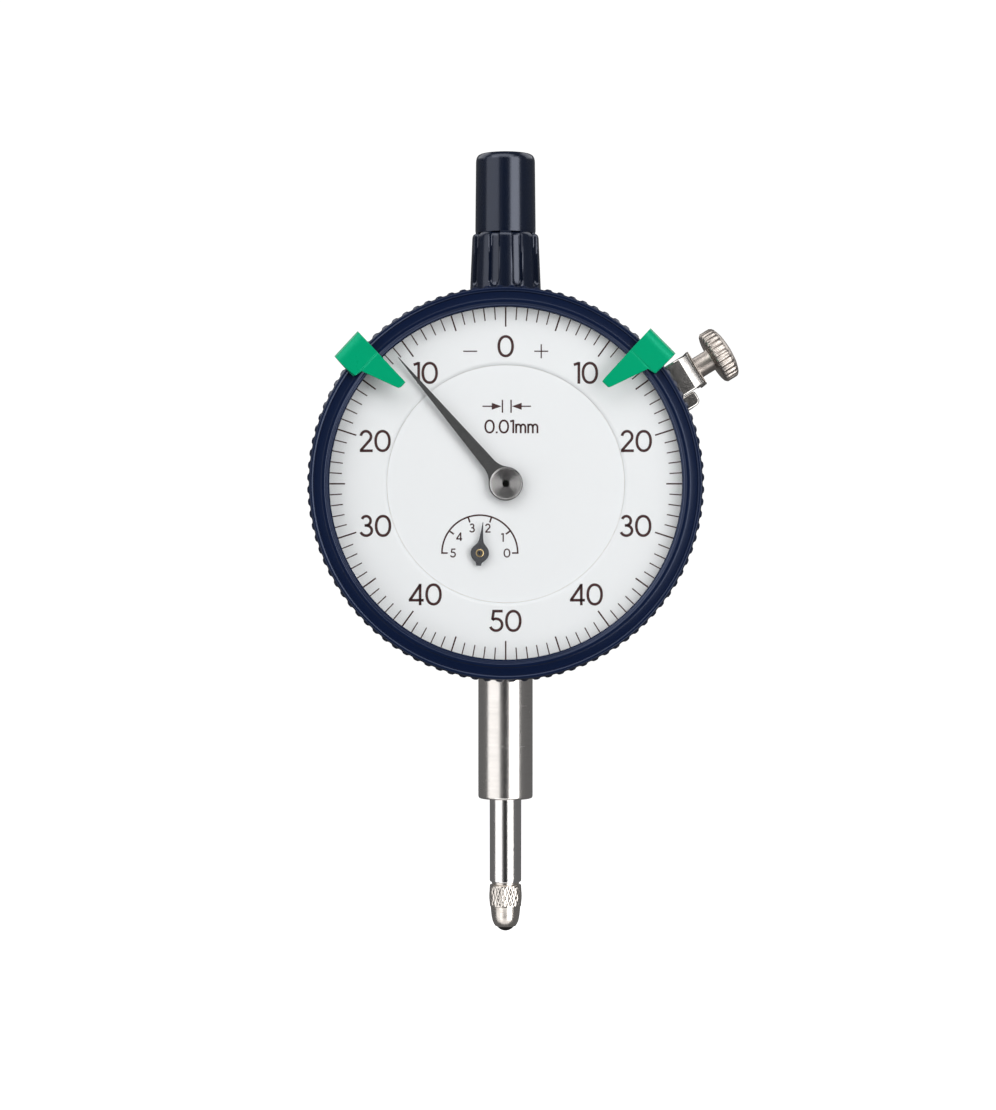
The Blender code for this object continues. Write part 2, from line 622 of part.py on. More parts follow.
def build_counter_train():
    """Make the counter arbor with its rack pinion, transfer wheel and small hand."""
    bm = bmesh.new()
    hand_front = COUNTER_HAND_Y - COUNTER_HAND_THICK - 0.15
    profile = [
        (0.0, REAR_BRIDGE_Y[1] - 0.1), (PIVOT_R, REAR_BRIDGE_Y[1] - 0.1), (PIVOT_R, 2.55),
        (ARBOR_R, 2.55), (ARBOR_R, hand_front), (0.0, hand_front),
    ]
    lathe(bm, profile, TRANSFER, AXIS_Y, 16, closed=False)
    add_object("counter_arbor", bm, STEEL, TRANSFER)
    bm = bmesh.new()
    outline = pinion_outline(RACK_TEETH, RACK_R, RACK_MODULE, pi / RACK_TEETH, 0.2, 0.42)
    ring_between(bm, outline, ARBOR_R + PRESS_FIT, *RACK_PINION_Y, TRANSFER, AXIS_Y)
    add_object("rack_pinion", bm, STEEL, TRANSFER)
    build_wheel("transfer_wheel", TRANSFER, MESH_ANGLE)
    build_counter_hand()


def build_wheel(name, centre, phase):
    """Make one of the two fine wheels that mesh with the centre pinion."""
    bm = bmesh.new()
    outline = wheel_outline(WHEEL_TEETH, WHEEL_R, GEAR_MODULE, phase)
    prism(bm, outline, *GEAR_Y, centre, AXIS_Y)
    wheel = add_object(name, bm, BRASS, centre)
    apply_boolean(wheel, cutter(f"cut_{name}", [hole(centre, AXIS_Y, ARBOR_R + FIT, -8.0, -5.0, 12)]))


def build_counter_hand():
    """Make the small hand with its lozenge hub, short tail and needle."""
    shape = [(-0.37, -1.95), (0.37, -1.95), (0.45, -1.15), (1.28, 0.0), (0.5, 1.1), (0.12, 4.5),
             (-0.12, 4.5), (-0.5, 1.1), (-1.28, 0.0), (-0.45, -1.15)]
    turn = Matrix.Rotation(COUNTER_ANGLE, 2)
    outline = [tuple(turn @ Vector(point)) for point in shape]
    bm = bmesh.new()
    prism(bm, outline, COUNTER_HAND_Y - COUNTER_HAND_THICK, COUNTER_HAND_Y, TRANSFER, AXIS_Y)
    hand = add_object("counter_hand", bm, BLACK, TRANSFER)
    bore = hole(TRANSFER, AXIS_Y, ARBOR_R + PRESS_FIT, -12.0, -9.0, 16)
    apply_boolean(hand, cutter("cut_counter_hand", [bore]))


def build_centre_train():
    """Make the centre arbor with its pinion, the main pointer and the turned hub."""
    pointer_front = POINTER_Y - POINTER_THICK
    bm = bmesh.new()
    profile = [
        (0.0, BRIDGE_Y[1] - 0.1), (PIVOT_R, BRIDGE_Y[1] - 0.1), (PIVOT_R, BRIDGE_Y[0] - 0.1),
        (ARBOR_R, BRIDGE_Y[0] - 0.1), (ARBOR_R, pointer_front), (0.0, pointer_front),
    ]
    lathe(bm, profile, DIAL_CENTRE, AXIS_Y, 16, closed=False)
    add_object("centre_arbor", bm, STEEL, DIAL_CENTRE)
    bm = bmesh.new()
    phase = MESH_ANGLE + pi + pi / PINION_TEETH
    outline = pinion_outline(PINION_TEETH, PINION_R, GEAR_MODULE, phase, 0.15, 0.38)
    ring_between(bm, outline, ARBOR_R + PRESS_FIT, *CENTRE_PINION_Y, DIAL_CENTRE, AXIS_Y)
    add_object("centre_pinion", bm, STEEL, DIAL_CENTRE)
    shape = [(-0.1, POINTER_LENGTH), (-0.95, 4.6), (-1.35, 2.9)]
    for step in range(1, 12):
        angle = radians(115.0 + 310.0 * step / 12)
        shape.append((2.45 * cos(angle), 2.45 * sin(angle)))
    shape += [(1.35, 2.9), (0.95, 4.6), (0.1, POINTER_LENGTH)]
    turn = Matrix.Rotation(POINTER_ANGLE, 2)
    outline = [tuple(turn @ Vector(point)) for point in shape]
    bm = bmesh.new()
    prism(bm, outline, pointer_front, POINTER_Y, DIAL_CENTRE, AXIS_Y)
    pointer = add_object("main_pointer", bm, BLACK, DIAL_CENTRE)
    bore = hole(DIAL_CENTRE, AXIS_Y, ARBOR_R + PRESS_FIT, -13.0, -9.0, 16)
    apply_boolean(pointer, cutter("cut_pointer", [bore]))
    hub_back = pointer_front - 0.03
    hub = [(0.0, hub_back), (2.3, hub_back), (2.3, hub_back - 0.12), (2.15, hub_back - 0.2),
           (0.5, hub_back - 0.2), (0.0, hub_back - 0.12)]
    turned("pointer_hub", hub, DIAL_CENTRE, AXIS_Y, STEEL, 40, origin=DIAL_CENTRE)


def build_take_up():
    """Make the take-up arbor, its wheel, collet, hairspring and the stud that holds it."""
    bm = bmesh.new()
    profile = [
        (0.0, -7.8), (PIVOT_R, -7.8), (PIVOT_R, -7.3), (ARBOR_R, -7.3), (ARBOR_R, BRIDGE_Y[0] - 0.1),
        (PIVOT_R, BRIDGE_Y[0] - 0.1), (PIVOT_R, BRIDGE_Y[1] - 0.1), (0.0, BRIDGE_Y[1] - 0.1),
    ]
    lathe(bm, profile, TAKE_UP, AXIS_Y, 16, closed=False)
    add_object("take_up_arbor", bm, STEEL, TAKE_UP)
    build_wheel("take_up_wheel", TAKE_UP, MESH_ANGLE + pi + take_up_phase())
    turned("hairspring_collet", ring_profile(ARBOR_R + PRESS_FIT, 1.2, -5.3, -4.3), TAKE_UP, AXIS_Y,
           BRASS, 16, closed=True, origin=TAKE_UP)
    turns = 4.0
    points = []
    for step in range(int(turns * 12) + 1):
        angle = tau * step / 12
        radius = 1.5 + 3.6 * angle / (turns * tau)
        points.append(TAKE_UP + Vector((radius * cos(angle), -4.8, radius * sin(angle))))
    bm = bmesh.new()
    tube(bm, points, 0.11, 3)
    add_object("hairspring", bm, DARK_STEEL)
    stud = rod_profile(0.5, -5.4, BRIDGE_Y[0] - FIT, 0.1)
    turned("hairspring_stud", stud, TAKE_UP + Vector((5.85, 0, 0)), AXIS_Y, BRASS, 14)


def take_up_phase():
    """Return the wheel's phase so that the centre pinion's tooth meets a wheel gap or tooth."""
    pinion_step = tau / PINION_TEETH
    pinion_phase = MESH_ANGLE + pi + pinion_step / 2
    offset = (MESH_ANGLE - pinion_phase) % pinion_step
    share = offset / pinion_step
    return (0.5 + share) * tau / WHEEL_TEETH


# Guide and return spring --------------------------------------------------------------

def build_guide():
    """Make the slotted guide block, its post screw, the return spring and its lower post."""
    bm = bmesh.new()
    low, high = GUIDE_Z - 4.6, GUIDE_Z + 4.6
    slot_low, slot_high = GUIDE_Z - 3.6, GUIDE_Z + 3.6
    prism(bm, [(2.6, low), (4.6, low), (4.6, high), (2.6, high)], -2.3, 1.7, DIAL_CENTRE, AXIS_Y)
    block = add_object("guide_block", bm, BRASS)

    def slot(tool_bm):
        half = GUIDE_PIN_R + FIT
        prism(tool_bm, [(-half, slot_low), (half, slot_low), (half, slot_high), (-half, slot_high)],
              2.0, 6.0, DIAL_CENTRE, (Vector((0, 1, 0)), Vector((0, 0, 1)), Vector((1, 0, 0))))
    apply_boolean(block, cutter("cut_guide", [slot]))
    post_z = DIAL_Z + SPRING_POST_Z
    turned("spring_anchor_post", rod_profile(0.6, LEDGE_BACK_Y + FIT, 1.3, 0.1),
           (SPRING_X, 0, post_z), AXIS_Y, STEEL, 16)
    bm = bmesh.new()
    tube(bm, spring_path(), SPRING_WIRE_R, 4)
    add_object("return_spring", bm, STEEL)


def spring_path():
    """Return the return spring's centre line: a coil with an eye at each end."""
    centre = Vector((SPRING_X, 0.0, DIAL_Z))
    eye_r = 1.0
    low = SPRING_POST_Z + eye_r + 0.9
    high = GUIDE_Z - eye_r - 0.9
    points = []
    for step in range(11):
        angle = -pi / 2 - tau * 0.8 * (10 - step) / 10
        points.append(centre + Vector((eye_r * cos(angle + pi), 0.0, SPRING_POST_Z - eye_r * sin(angle))))
    steps = SPRING_TURNS * 10
    for step in range(steps + 1):
        angle = tau * step / 10
        grow = min(1.0, step / 5, (steps - step) / 5)
        radius = SPRING_R * grow
        z = low + (high - low) * step / steps
        points.append(centre + Vector((radius * cos(angle), radius * sin(angle), z)))
    for step in range(11):
        angle = -pi / 2 + tau * 0.8 * step / 10
        points.append(centre + Vector((0.0, eye_r * cos(angle), GUIDE_Z + eye_r * sin(angle))))
    return points


# Bezel group --------------------------------------------------------------------------

def build_bezel():
    """Make the bezel ring, the crystal and its gasket, and the wire that keeps the bezel on."""
    profile = [
        (LIP_R, -12.8), (25.6, LIP_Y), (26.2, LIP_Y), (26.6, -12.3), (27.3, -12.3), (27.6, -12.85),
        (27.95, -12.85), (BEZEL_R, -12.1),
        (BEZEL_R, BEZEL_BACK_Y - 0.3), (BEZEL_R - 0.3, BEZEL_BACK_Y), (SKIRT_R, BEZEL_BACK_Y),
        (SKIRT_R, SKIRT_Y), (BEZEL_BORE_R, SKIRT_Y), (BEZEL_BORE_R, WIRE_Y + WIRE_R + 0.1),
        (BEZEL_BORE_R + 0.35, WIRE_Y + WIRE_R + 0.1), (BEZEL_BORE_R + 0.35, WIRE_Y - WIRE_R - 0.1),
        (BEZEL_BORE_R, WIRE_Y - WIRE_R - 0.1), (BEZEL_BORE_R, SEAT_Y), (LIP_R, SEAT_Y),
    ]
    turned("bezel_ring", profile, DIAL_CENTRE, AXIS_Y, NAVY, 60, closed=True, origin=DIAL_CENTRE)
    back = CRYSTAL_Y + CRYSTAL_THICK
    crystal = [(0.0, CRYSTAL_Y), (26.0, CRYSTAL_Y), (26.0, back), (0.0, back)]
    turned("crystal", crystal, DIAL_CENTRE, AXIS_Y, CLEAR, 48, origin=DIAL_CENTRE)
    turned("crystal_gasket", ring_profile(25.5, 26.1, back + FIT, DIAL_FACE_Y - 0.1), DIAL_CENTRE,
           AXIS_Y, RUBBER, 48, closed=True, origin=DIAL_CENTRE)
    turned("dial_ring", ring_profile(INNER_DIAL_R + 0.1, DIAL_R, DIAL_FACE_Y, DIAL_FACE_Y + DIAL_THICK),
           DIAL_CENTRE, AXIS_Y, WHITE, 48, closed=True, origin=DIAL_CENTRE)
    middle = (CASE_R + BEZEL_BORE_R) / 2
    wire = [(middle + WIRE_R * cos(tau * k / 6), WIRE_Y + WIRE_R * sin(tau * k / 6)) for k in range(6)]
    turned("bezel_retaining_wire", wire, DIAL_CENTRE, AXIS_Y, STEEL, 48, closed=True, origin=DIAL_CENTRE)


def build_inner_dial():
    """Make the fixed middle disc of the dial and the spacer that carries it."""
    front = DIAL_FACE_Y + INNER_DIAL_STEP
    back = front + DIAL_THICK
    disc = turned("inner_dial", rod_profile(INNER_DIAL_R, front, back), DIAL_CENTRE, AXIS_Y, WHITE, 48)
    shapes = [hole(DIAL_CENTRE, AXIS_Y, 1.2, -11.0, -9.0), hole(TRANSFER, AXIS_Y, 1.0, -11.0, -9.0)]
    apply_boolean(disc, cutter("cut_inner_dial", shapes))
    turned("dial_spacer", ring_profile(13.5, 16.0, back + FIT, FRONT_PLATE_Y[0] - FIT), DIAL_CENTRE,
           AXIS_Y, BRASS, 32, closed=True)


def marker_section():
    """Return the marker's section: a long front tongue, a wall and a hook behind the rim."""
    front, inner = MARKER_FRONT_Y
    hook_front, hook_back = MARKER_HOOK_Y
    return [
        (20.5, inner), (20.5, inner - 0.45), (20.8, front + 0.05), (29.4, front), (29.8, front + 0.25),
        (MARKER_OUTER_R, -12.9), (MARKER_OUTER_R, hook_back - 0.3), (MARKER_OUTER_R - 0.3, hook_back),
        (MARKER_HOOK_R, hook_back), (MARKER_HOOK_R, hook_front), (MARKER_WALL_R, hook_front),
        (MARKER_WALL_R, inner),
    ]


def marker_shape(bm, side):
    """Add the marker's outline seen from the front; side is +1 when its block is on the left."""
    outline = [
        (31.5, 1.57 * side), (20.45, 0.86 * side), (20.2, 0.3 * side), (20.45, -0.45 * side),
        (26.0, -2.2 * side), (26.3, -3.55 * side), (31.5, -3.3 * side),
    ]
    prism(bm, outline, -15.0, -4.0, Vector((0, 0, 0)), AXIS_Y)


def build_markers():
    """Make the two limit markers that clip over the bezel's rim."""
    for name, angle in MARKER_ANGLES.items():
        outward = Vector((-sin(angle), 0.0, cos(angle)))
        across = Vector((cos(angle), 0.0, sin(angle)))
        side = 1.0 if angle > 0 else -1.0
        bm = bmesh.new()
        prism(bm, marker_section(), -5.0, 5.0, DIAL_CENTRE, (outward, Vector((0, 1, 0)), across))
        marker = add_object(name, bm, GREEN, DIAL_CENTRE)
        tool_bm = bmesh.new()
        marker_shape(tool_bm, side)
        for vert in tool_bm.verts:
            u, y, v = vert.co
            vert.co = DIAL_CENTRE + outward * u + Vector((0, y, 0)) + across * v
        tool = add_object(f"keep_{name}", tool_bm, GREEN)
        tool.hide_render = True
        tool.display_type = "WIRE"
        apply_boolean(marker, tool, "INTERSECT")


# Bezel clamp --------------------------------------------------------------------------

def build_clamp():
    """Make the bezel clamp: base, bent bracket, screw that fixes it, shoe and thumbscrew."""
    bm = bmesh.new()
    low_u, high_u = CLAMP_BASE_U
    low_v, high_v = CLAMP_BASE_V
    ear_u = low_u + 4.3
    outline = [(low_u, low_v), (ear_u - 0.7, low_v), (ear_u, low_v + 0.5), (ear_u, CLAMP_EAR_V),
               (high_u, CLAMP_EAR_V), (high_u, high_v), (low_u, high_v)]
    prism(bm, outline, *CLAMP_BASE_Y, DIAL_CENTRE, CLAMP_PLATE)
    base = add_object("clamp_base", bm, STEEL)
    fixing_centre = DIAL_CENTRE + Vector((0, FIXING_SCREW_Y, 0))
    clamp_centre = DIAL_CENTRE + Vector((0, CLAMP_SCREW_Y, 0))
    shapes = [hole(fixing_centre, CLAMP_AXES, 0.8, 25.0, 29.0, 12),
              hole(clamp_centre, CLAMP_AXES, THUMB_SHANK_R + FIT, 27.0, 29.0, 20)]
    apply_boolean(base, cutter("cut_clamp_base", shapes))
    build_bracket()
    shoe = rod_profile(1.5, 27.05, 27.75, 0.1)
    turned("clamp_shoe", shoe, clamp_centre, CLAMP_AXES, BRASS, 24, origin=clamp_centre)
    build_thumbscrew(clamp_centre)


def build_bracket():
    """Make the bracket: a foot on the base, a front web and a bent outer flange."""
    inner_u = CLAMP_BASE_U[1] + FIT
    front = BRACKET_Y[0]
    thick = BRACKET_THICK
    section = [
        (inner_u, CLAMP_BASE_Y[1]), (inner_u, front + 0.35), (inner_u + 0.35, front),
        (BRACKET_U - 0.8, front), (BRACKET_U - 0.25, front + 0.25), (BRACKET_U, front + 0.8),
        (BRACKET_U, BRACKET_Y[1]), (BRACKET_U - thick, BRACKET_Y[1]), (BRACKET_U - thick, front + thick),
        (inner_u + thick, front + thick), (inner_u + thick, CLAMP_BASE_Y[1]),
    ]
    bm = bmesh.new()
    prism(bm, section, -BRACKET_V, BRACKET_V, DIAL_CENTRE, (CLAMP_U, Vector((0, 1, 0)), CLAMP_V))
    bracket = add_object("clamp_bracket", bm, STEEL)
    centre = DIAL_CENTRE + Vector((0, CLAMP_SCREW_Y, 0))
    fixing_centre = DIAL_CENTRE + Vector((0, FIXING_SCREW_Y, 0))
    shapes = [hole(centre, CLAMP_AXES, THUMB_SHANK_R + FIT, 26.0, 34.0, 20),
              hole(fixing_centre, CLAMP_AXES, 0.8, 26.0, 30.0, 12)]
    apply_boolean(bracket, cutter("cut_bracket", shapes))
    seat = inner_u + thick + FIT
    build_screw("clamp_fixing_screw", fixing_centre, CLAMP_AXES, seat, 0.7, 1.2, 0.7, 1.8, 1.0)


def build_thumbscrew(centre):
    """Make the knurled thumbscrew, whose axis is radial to the dial."""
    low, high = THUMB_HEAD_U
    profile = [
        (0.0, 27.8), (THUMB_SHANK_R, 27.8), (THUMB_SHANK_R, low), (THUMB_HEAD_R - 0.3, low),
        (THUMB_HEAD_R, low + 0.3), (THUMB_HEAD_R, high - 0.3), (THUMB_HEAD_R - 0.3, high),
        (THUMB_HEAD_R - 1.2, high + 0.35), (0.0, high + 0.5),
    ]
    turned("clamp_thumbscrew", profile, centre, CLAMP_AXES, STEEL, 32, origin=centre)


def main():
    """Build every piece of the indicator."""
    clear_scene()
    build_case()
    build_back()
    build_stem()
    build_cap()
    build_spindle()
    build_plates()
    build_counter_train()
    build_centre_train()
    build_take_up()
    build_guide()
    build_bezel()
    build_inner_dial()
    build_markers()
    build_clamp()


main()
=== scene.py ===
"""Studio scene of a plunger dial indicator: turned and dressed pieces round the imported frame."""

import json
import logging
import math
from dataclasses import dataclass, field
from enum import Enum
from typing import Callable, Optional, Sequence

import bmesh
import bpy
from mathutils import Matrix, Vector


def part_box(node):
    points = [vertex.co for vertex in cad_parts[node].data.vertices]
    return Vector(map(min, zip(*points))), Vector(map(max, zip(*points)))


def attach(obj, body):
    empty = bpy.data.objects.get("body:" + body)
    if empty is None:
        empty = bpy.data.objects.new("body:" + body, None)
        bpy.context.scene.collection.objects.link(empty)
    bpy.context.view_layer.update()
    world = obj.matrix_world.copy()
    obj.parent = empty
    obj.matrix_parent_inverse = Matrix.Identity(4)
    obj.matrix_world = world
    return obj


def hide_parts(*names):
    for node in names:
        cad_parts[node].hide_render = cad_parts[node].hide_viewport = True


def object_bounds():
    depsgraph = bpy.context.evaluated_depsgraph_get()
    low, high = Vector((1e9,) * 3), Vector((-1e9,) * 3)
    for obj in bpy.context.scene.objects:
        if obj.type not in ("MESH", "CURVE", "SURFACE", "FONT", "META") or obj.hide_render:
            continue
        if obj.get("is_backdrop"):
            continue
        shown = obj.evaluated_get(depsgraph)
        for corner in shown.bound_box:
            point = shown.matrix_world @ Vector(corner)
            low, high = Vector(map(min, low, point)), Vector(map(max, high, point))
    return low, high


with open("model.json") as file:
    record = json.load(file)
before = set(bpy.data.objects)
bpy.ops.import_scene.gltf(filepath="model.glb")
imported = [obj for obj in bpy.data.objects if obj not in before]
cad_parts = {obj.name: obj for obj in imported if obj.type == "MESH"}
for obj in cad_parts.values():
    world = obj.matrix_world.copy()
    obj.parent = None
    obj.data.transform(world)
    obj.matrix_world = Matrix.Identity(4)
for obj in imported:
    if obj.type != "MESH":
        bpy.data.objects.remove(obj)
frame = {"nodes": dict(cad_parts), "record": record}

LOG = logging.getLogger("dial_indicator")
MM = 0.001
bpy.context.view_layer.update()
NOISE_LOW = 0.3      # the noise textures' values lie mostly between these two
NOISE_HIGH = 0.7
FINE_SHARE = 0.45    # the fine texture's share in a finish, the rest being the broad one
RadiusRule = Callable[[int, float, float], float]
Point2 = tuple[float, float]
Colour = tuple[float, float, float]


class Pattern(Enum):
    """How a finish's fine texture is laid out over a piece."""

    EVEN = "even"
    RINGS_UP = "rings around the spindle"
    RINGS_DIAL = "rings around the dial"
    DRAWN = "drawn along the spindle"


@dataclass(frozen=True)
class Axes:
    """A local frame: an origin in metres and three unit directions.

    Args:
        origin: The frame's origin in metres.
        first: Direction of the first coordinate.
        second: Direction of the second coordinate.
        third: Direction of the third coordinate.
    """

    origin: Vector
    first: Vector
    second: Vector
    third: Vector

    def at(self, a: float, b: float, c: float) -> Vector:
        """Return the point at the given millimetres along the three directions."""
        return self.origin + (self.first * a + self.second * b + self.third * c) * MM


RIGHT = Vector((1.0, 0.0, 0.0))
UP = Vector((0.0, 0.0, 1.0))
BACK = Vector((0.0, 1.0, 0.0))


def middle(node: str) -> Vector:
    """Return the middle of a node's box."""
    low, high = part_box(node)
    return (low + high) / 2


def dial_axes() -> Axes:
    """Return the dial's frame: right, up and depth, with the origin on the spindle's depth."""
    centre = middle("dial_ring")
    return Axes(Vector((centre.x, 0.0, centre.z)), RIGHT, UP, BACK)


def spindle_axes() -> Axes:
    """Return the spindle's frame, whose third direction points up."""
    return Axes(Vector((0.0, 0.0, 0.0)), RIGHT, BACK, UP)


def depth(node: str) -> tuple[float, float]:
    """Return a node's front and back depths in millimetres."""
    low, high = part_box(node)
    return low.y / MM, high.y / MM


# Finishes -----------------------------------------------------------------------------


class NodeBoard:
    """A material's node tree with short calls for the nodes that the finishes share."""

    def __init__(self, name: str) -> None:
        """Start a material with its Principled shader."""
        self.material = bpy.data.materials.new(name)
        self.material.use_nodes = True
        self.tree = self.material.node_tree
        self.shader = self.tree.nodes["Principled BSDF"]

    def add(self, kind: str, **values: object) -> bpy.types.Node:
        """Add a node and set its plain attributes."""
        node = self.tree.nodes.new(kind)
        for key, value in values.items():
            setattr(node, key, value)
        return node

    def link(self, source: bpy.types.NodeSocket, target: bpy.types.NodeSocket) -> None:
        """Join two sockets."""
        self.tree.links.new(source, target)

    def math(self, operation: str, *inputs: object) -> bpy.types.NodeSocket:
        """Add a Math node fed with sockets or numbers and return its result."""
        node = self.add("ShaderNodeMath", operation=operation)
        for index, value in enumerate(inputs):
            if isinstance(value, (int, float)):
                node.inputs[index].default_value = value
            else:
                self.link(value, node.inputs[index])
        return node.outputs[0]

    def place(self, pattern: Pattern, stretch: float = 1.0) -> bpy.types.NodeSocket:
        """Return texture coordinates laid out for a pattern about the object's origin.

        Args:
            pattern: The layout wanted.
            stretch: How many times longer the marks are than they are wide.

        Returns:
            The vector socket that feeds a noise texture.
        """
        coords = self.add("ShaderNodeTexCoord").outputs["Object"]
        if pattern is Pattern.EVEN:
            return coords
        split = self.add("ShaderNodeSeparateXYZ")
        self.link(coords, split.inputs[0])
        x, y, z = split.outputs
        join = self.add("ShaderNodeCombineXYZ")
        if pattern is Pattern.RINGS_DIAL:
            squares = self.math("ADD", self.math("MULTIPLY", x, x), self.math("MULTIPLY", z, z))
            radius = self.math("SQRT", squares)
            parts = (radius, self.math("DIVIDE", y, stretch), self.math("DIVIDE", x, stretch))
        elif pattern is Pattern.RINGS_UP:
            parts = (self.math("DIVIDE", x, stretch), self.math("DIVIDE", y, stretch), z)
        else:
            parts = (x, y, self.math("DIVIDE", z, stretch))
        for socket, part in zip(join.inputs, parts):
            self.link(part, socket)
        return join.outputs[0]

    def noise(self, vector: bpy.types.NodeSocket, scale: float, detail: float) -> bpy.types.NodeSocket:
        """Return the factor of a noise texture with features of 1/scale metres."""
        node = self.add("ShaderNodeTexNoise")
        node.inputs["Scale"].default_value = scale
        node.inputs["Detail"].default_value = detail
        self.link(vector, node.inputs["Vector"])
        return node.outputs[0]

    def ramp(self, factor: bpy.types.NodeSocket, low: Colour, high: Colour) -> bpy.types.NodeSocket:
        """Return a colour that runs from low to high over the noise's usual range."""
        node = self.add("ShaderNodeValToRGB")
        first, last = node.color_ramp.elements
        first.position, last.position = NOISE_LOW, NOISE_HIGH
        first.color, last.color = (*low, 1.0), (*high, 1.0)
        self.link(factor, node.inputs["Fac"])
        return node.outputs["Color"]

    def span(self, factor: bpy.types.NodeSocket, low: float, high: float) -> bpy.types.NodeSocket:
        """Return a number that runs from low to high over the noise's usual range."""
        node = self.add("ShaderNodeMapRange")
        limits = {"From Min": NOISE_LOW, "From Max": NOISE_HIGH, "To Min": low, "To Max": high}
        for name, value in limits.items():
            node.inputs[name].default_value = value
        self.link(factor, node.inputs["Value"])
        return node.outputs["Result"]

    def bump(self, height: bpy.types.NodeSocket, depth_mm: float) -> None:
        """Raise the surface by a height map of the given depth."""
        node = self.add("ShaderNodeBump")
        node.inputs["Strength"].default_value = 1.0
        node.inputs["Distance"].default_value = depth_mm * MM
        self.link(height, node.inputs["Height"])
        self.link(node.outputs["Normal"], self.shader.inputs["Normal"])


@dataclass(frozen=True)
class Finish:
    """A surface finish made from two layers of noise over a Principled shader.

    Args:
        name: The finish's name, from which its material is named.
        slot: The record's material slot that it belongs to. Not used.
        light: The lighter base colour.
        dark: The darker base colour.
        metallic: The metallic value.
        smooth: The lowest roughness.
        rough: The highest roughness.
        pattern: How the fine texture lies.
        grain: Fine features in a metre.
        mottle: Broad features in a metre.
        stretch: Length of the fine marks over their width.
        bump_mm: Height of the fine texture.
        alpha: Opacity.
        bright: Specular level of a finish that is not metal.
        tint: Colour of its highlights.
    """

    name: str
    slot: str
    light: Colour
    dark: Colour
    metallic: float = 0.0
    smooth: float = 0.3
    rough: float = 0.45
    pattern: Pattern = Pattern.EVEN
    grain: float = 4000.0
    mottle: float = 260.0
    stretch: float = 1.0
    bump_mm: float = 0.002
    alpha: float = 1.0
    bright: float = 0.5
    tint: Colour = (1.0, 1.0, 1.0)

    def material(self) -> bpy.types.Material:
        """Return this finish's material, which every piece with the finish shares."""
        key = f"{self.name}_finish"
        ready = bpy.data.materials.get(key)
        if ready is not None:
            return ready
        board = NodeBoard(key)
        fine = board.noise(board.place(self.pattern, self.stretch), self.grain, 3.0)
        broad = board.noise(board.place(Pattern.EVEN), self.mottle, 4.0)
        mixed = board.math("ADD", board.math("MULTIPLY", fine, FINE_SHARE),
                           board.math("MULTIPLY", broad, 1.0 - FINE_SHARE))
        board.link(board.ramp(mixed, self.dark, self.light), board.shader.inputs["Base Color"])
        board.link(board.span(mixed, self.rough, self.smooth), board.shader.inputs["Roughness"])
        board.bump(fine, self.bump_mm)
        self.set_numbers(board.shader)
        return board.material

    def set_numbers(self, shader: bpy.types.Node) -> None:
        """Set the values that are the same all over the surface."""
        shader.inputs["Metallic"].default_value = self.metallic
        shader.inputs["Alpha"].default_value = self.alpha
        shader.inputs["Specular IOR Level"].default_value = self.bright
        shader.inputs["Specular Tint"].default_value = (*self.tint, 1.0)


NAVY = Finish("navy_enamel", "navy_enamel", (0.0044, 0.0105, 0.038), (0.0034, 0.0084, 0.030),
              smooth=0.17, rough=0.24, grain=5200.0, mottle=420.0, bump_mm=0.0007, bright=0.48,
              tint=(0.62, 0.72, 1.0))
STEEL_GROUND = Finish("ground_steel", "bright_steel", (0.80, 0.765, 0.735), (0.70, 0.665, 0.635),
                      metallic=1.0, smooth=0.2, rough=0.28, pattern=Pattern.RINGS_UP, grain=9000.0,
                      stretch=60.0, mottle=300.0, bump_mm=0.00015)
STEEL_SPINDLE = Finish("polished_spindle", "bright_steel", (0.86, 0.835, 0.82), (0.79, 0.765, 0.75),
                       metallic=1.0, smooth=0.14, rough=0.2, pattern=Pattern.RINGS_UP, grain=9000.0,
                       stretch=80.0, mottle=200.0, bump_mm=0.0001)
STEEL_SMALL = Finish("small_steel", "bright_steel", (0.66, 0.65, 0.64), (0.5, 0.49, 0.48), metallic=1.0,
                     smooth=0.2, rough=0.34, grain=7000.0, mottle=900.0, bump_mm=0.001)
NICKEL = Finish("worn_nickel", "warm_nickel", (0.64, 0.58, 0.53), (0.40, 0.36, 0.33), metallic=1.0,
                smooth=0.34, rough=0.48, grain=5200.0, mottle=1500.0, bump_mm=0.001)
NICKEL_PLATE = Finish("plated_nickel", "warm_nickel", (0.72, 0.69, 0.66), (0.36, 0.345, 0.33), metallic=1.0,
                      smooth=0.13, rough=0.26, grain=3600.0, mottle=1500.0, bump_mm=0.0014)
NICKEL_POINT = Finish("point_nickel", "warm_nickel", (0.80, 0.745, 0.69), (0.64, 0.59, 0.54),
                      metallic=1.0, smooth=0.2, rough=0.32, pattern=Pattern.RINGS_UP, grain=8000.0,
                      stretch=40.0, mottle=900.0, bump_mm=0.0003)
HUB_SILVER = Finish("turned_silver", "turned_silver", (0.27, 0.265, 0.262), (0.215, 0.211, 0.208),
                    metallic=1.0, smooth=0.18, rough=0.26, pattern=Pattern.RINGS_DIAL, grain=20000.0,
                    stretch=200.0, mottle=300.0, bump_mm=0.002)
BRASS = Finish("movement_brass", "movement_brass", (0.70, 0.53, 0.27), (0.56, 0.41, 0.2), metallic=1.0,
               smooth=0.22, rough=0.36, pattern=Pattern.DRAWN, grain=6000.0, stretch=30.0, mottle=500.0,
               bump_mm=0.001)
BLUED = Finish("blued_spring", "blued_spring", (0.10, 0.13, 0.24), (0.05, 0.06, 0.12), metallic=1.0,
               smooth=0.2, rough=0.3, bump_mm=0.0005)
